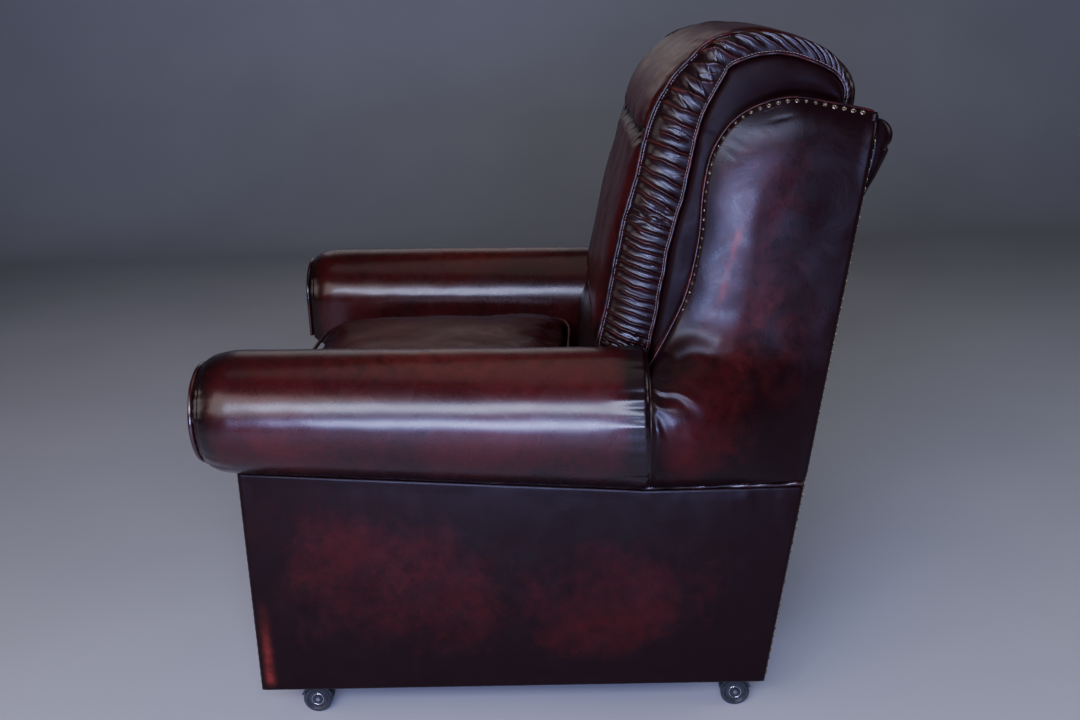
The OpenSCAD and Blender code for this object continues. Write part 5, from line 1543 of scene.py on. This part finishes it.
# Name, place, point looked at, size, power and tint of each lamp.
LAMPS = (
    ("window_low", (2.35, -0.16, 0.54), (0.3, 0.0, 0.50), (1.10, 0.22), 58, (0.42, 0.47, 1.0)),
    ("window_high", (2.3, -0.25, 1.46), (-0.2, -0.1, 0.55), (1.4, 0.40), 48, (0.58, 0.64, 1.0)),
    ("warm_side", (1.9, -1.15, 1.50), (0.3, -0.1, 0.50), (1.2, 1.2), 15, (1.0, 0.86, 0.82)),
    ("ceiling", (0.2, 0.2, 3.4), (0.0, 0.0, 0.4), (2.4, 2.4), 9, (1.0, 0.97, 0.95)),
    ("far_side", (-2.6, -0.6, 1.9), (0.0, 0.0, 0.5), (1.6, 1.2), 3, (1.0, 0.93, 0.88)),
    ("front", (0.9, -3.0, 1.3), (0.0, 0.0, 0.6), (1.4, 1.2), 12, (1.0, 0.90, 0.85)),
    ("behind", (0.4, 3.0, 1.6), (0.0, 0.2, 0.5), (1.6, 1.4), 20, (0.92, 0.94, 1.0)),
)


def stand(obj, place, right, up, back):
    """Puts a lamp or a camera at a place, with its own three axes as given."""
    bpy.context.scene.collection.objects.link(obj)
    obj.matrix_world = Matrix([[right[k], up[k], back[k], place[k]] for k in range(3)] + [[0, 0, 0, 1]])


class ARMCHAIR_OT_stage(bpy.types.Operator):
    """Sets the floor, the soft lights and the camera"""

    bl_idname = "armchair.stage"
    bl_label = "Stage"

    def execute(self, context):
        self.floor()
        self.lights()
        self.camera()
        return {"FINISHED"}

    def floor(self):
        """A pale floor that curves up into a backdrop: a quarter circle joins the level part and the wall."""
        bend = np.linspace(0, math.pi / 2, 24)
        radius, wall = 1.6, -3.4
        line = np.vstack([[[9.0, 0.0]], np.stack([wall - radius * np.sin(bend), radius * (1 - np.cos(bend))], 1),
                          [[wall - radius, 6.0]]])
        y = np.linspace(-9, 9, 12)
        grid = np.stack([np.broadcast_to(line[:, :1], (len(line), 12)), np.broadcast_to(y, (len(line), 12)),
                         np.broadcast_to(line[:, 1:], (len(line), 12))], -1)
        obj = add_mesh("studio_floor", grid.reshape(-1, 3), grid_quads(len(line), 12)[:, ::-1])
        material, tree, shader, place = new_material("StudioPaper")
        tone = node(tree, "ShaderNodeTexNoise", (-700, 0), {"Scale": 1.3, "Detail": 3.0})
        tree.links.new(place, tone.inputs["Vector"])
        share = spread(tree, (-500, 0), tone.outputs["Fac"], 0.3, 0.7)
        tree.links.new(blend_colour(tree, (-250, 0), share, (0.44, 0.44, 0.45, 1), (0.49, 0.49, 0.495, 1)),
                       shader.inputs["Base Color"])
        set_inputs(shader, {"Roughness": 0.9})
        obj.data.materials.append(material)

    def lamp(self, name, place, target, size, power, tint):
        """A soft rectangular lamp that looks at a target."""
        data = bpy.data.lights.new(name, "AREA")
        data.shape, data.size, data.size_y = "RECTANGLE", *size
        data.energy, data.color = power, tint
        back = np.array(place, float) - np.array(target, float)
        back /= np.linalg.norm(back)
        right = np.cross([0, 0, 1], back)
        right /= np.linalg.norm(right)
        stand(bpy.data.objects.new(name, data), place, right, np.cross(back, right), back)

    def lights(self):
        """The lamps, and a faint even light from all round."""
        for row in LAMPS:
            self.lamp(*row)
        world = bpy.data.worlds.new("studio")
        world.use_nodes = True
        set_inputs(world.node_tree.nodes["Background"], {"Color": (0.55, 0.58, 0.62, 1), "Strength": 0.05})
        bpy.context.scene.world = world

    def camera(self):
        """The photograph's view: a level camera turned by its pitch, yaw and roll."""
        pitch, yaw, roll = 0.2846, -0.0387, -0.0388
        forward = np.array([-math.cos(yaw) * math.cos(pitch), math.sin(yaw) * math.cos(pitch), -math.sin(pitch)])
        right = np.array([math.sin(yaw), math.cos(yaw), 0.0])
        up = np.cross(right, forward)
        turned_right = math.cos(roll) * right + math.sin(roll) * up
        turned_up = -math.sin(roll) * right + math.cos(roll) * up
        data = bpy.data.cameras.new("camera")
        data.lens, data.sensor_width = 39.24, 36.0
        data.clip_start, data.clip_end = 0.05, 60
        camera = bpy.data.objects.new("camera", data)
        stand(camera, (1.9424, shape().base_front + 0.4999, 1.0316), turned_right, turned_up, -forward)
        bpy.context.scene.camera = camera


class ARMCHAIR_PT_panel(bpy.types.Panel):
    """Lists the armchair's operators in the sidebar"""

    bl_idname = "ARMCHAIR_PT_panel"
    bl_label = "Armchair"
    bl_space_type = "VIEW_3D"
    bl_region_type = "UI"
    bl_category = "Armchair"

    def draw(self, context):
        for operator in OPERATORS:
            self.layout.operator(operator.bl_idname)


OPERATORS = (
    ARMCHAIR_OT_stage, ARMCHAIR_OT_materials, ARMCHAIR_OT_inner_frame, ARMCHAIR_OT_arms, ARMCHAIR_OT_base,
    ARMCHAIR_OT_wings, ARMCHAIR_OT_back_pad, ARMCHAIR_OT_seat_cushion, ARMCHAIR_OT_nails,
)
CLASSES = (ArmchairShape, ArmchairFinish, *OPERATORS, ARMCHAIR_PT_panel)


def register():
    for cls in CLASSES:
        bpy.utils.register_class(cls)
    bpy.types.Scene.armchair_shape = bpy.props.PointerProperty(type=ArmchairShape)
    bpy.types.Scene.armchair_finish = bpy.props.PointerProperty(type=ArmchairFinish)


def unregister():
    del bpy.types.Scene.armchair_finish
    del bpy.types.Scene.armchair_shape
    for cls in reversed(CLASSES):
        bpy.utils.unregister_class(cls)


def main():
    register()
    for operator in OPERATORS:
        group, name = operator.bl_idname.split(".")
        getattr(getattr(bpy.ops, group), name)()


if __name__ == "__main__":
    main()
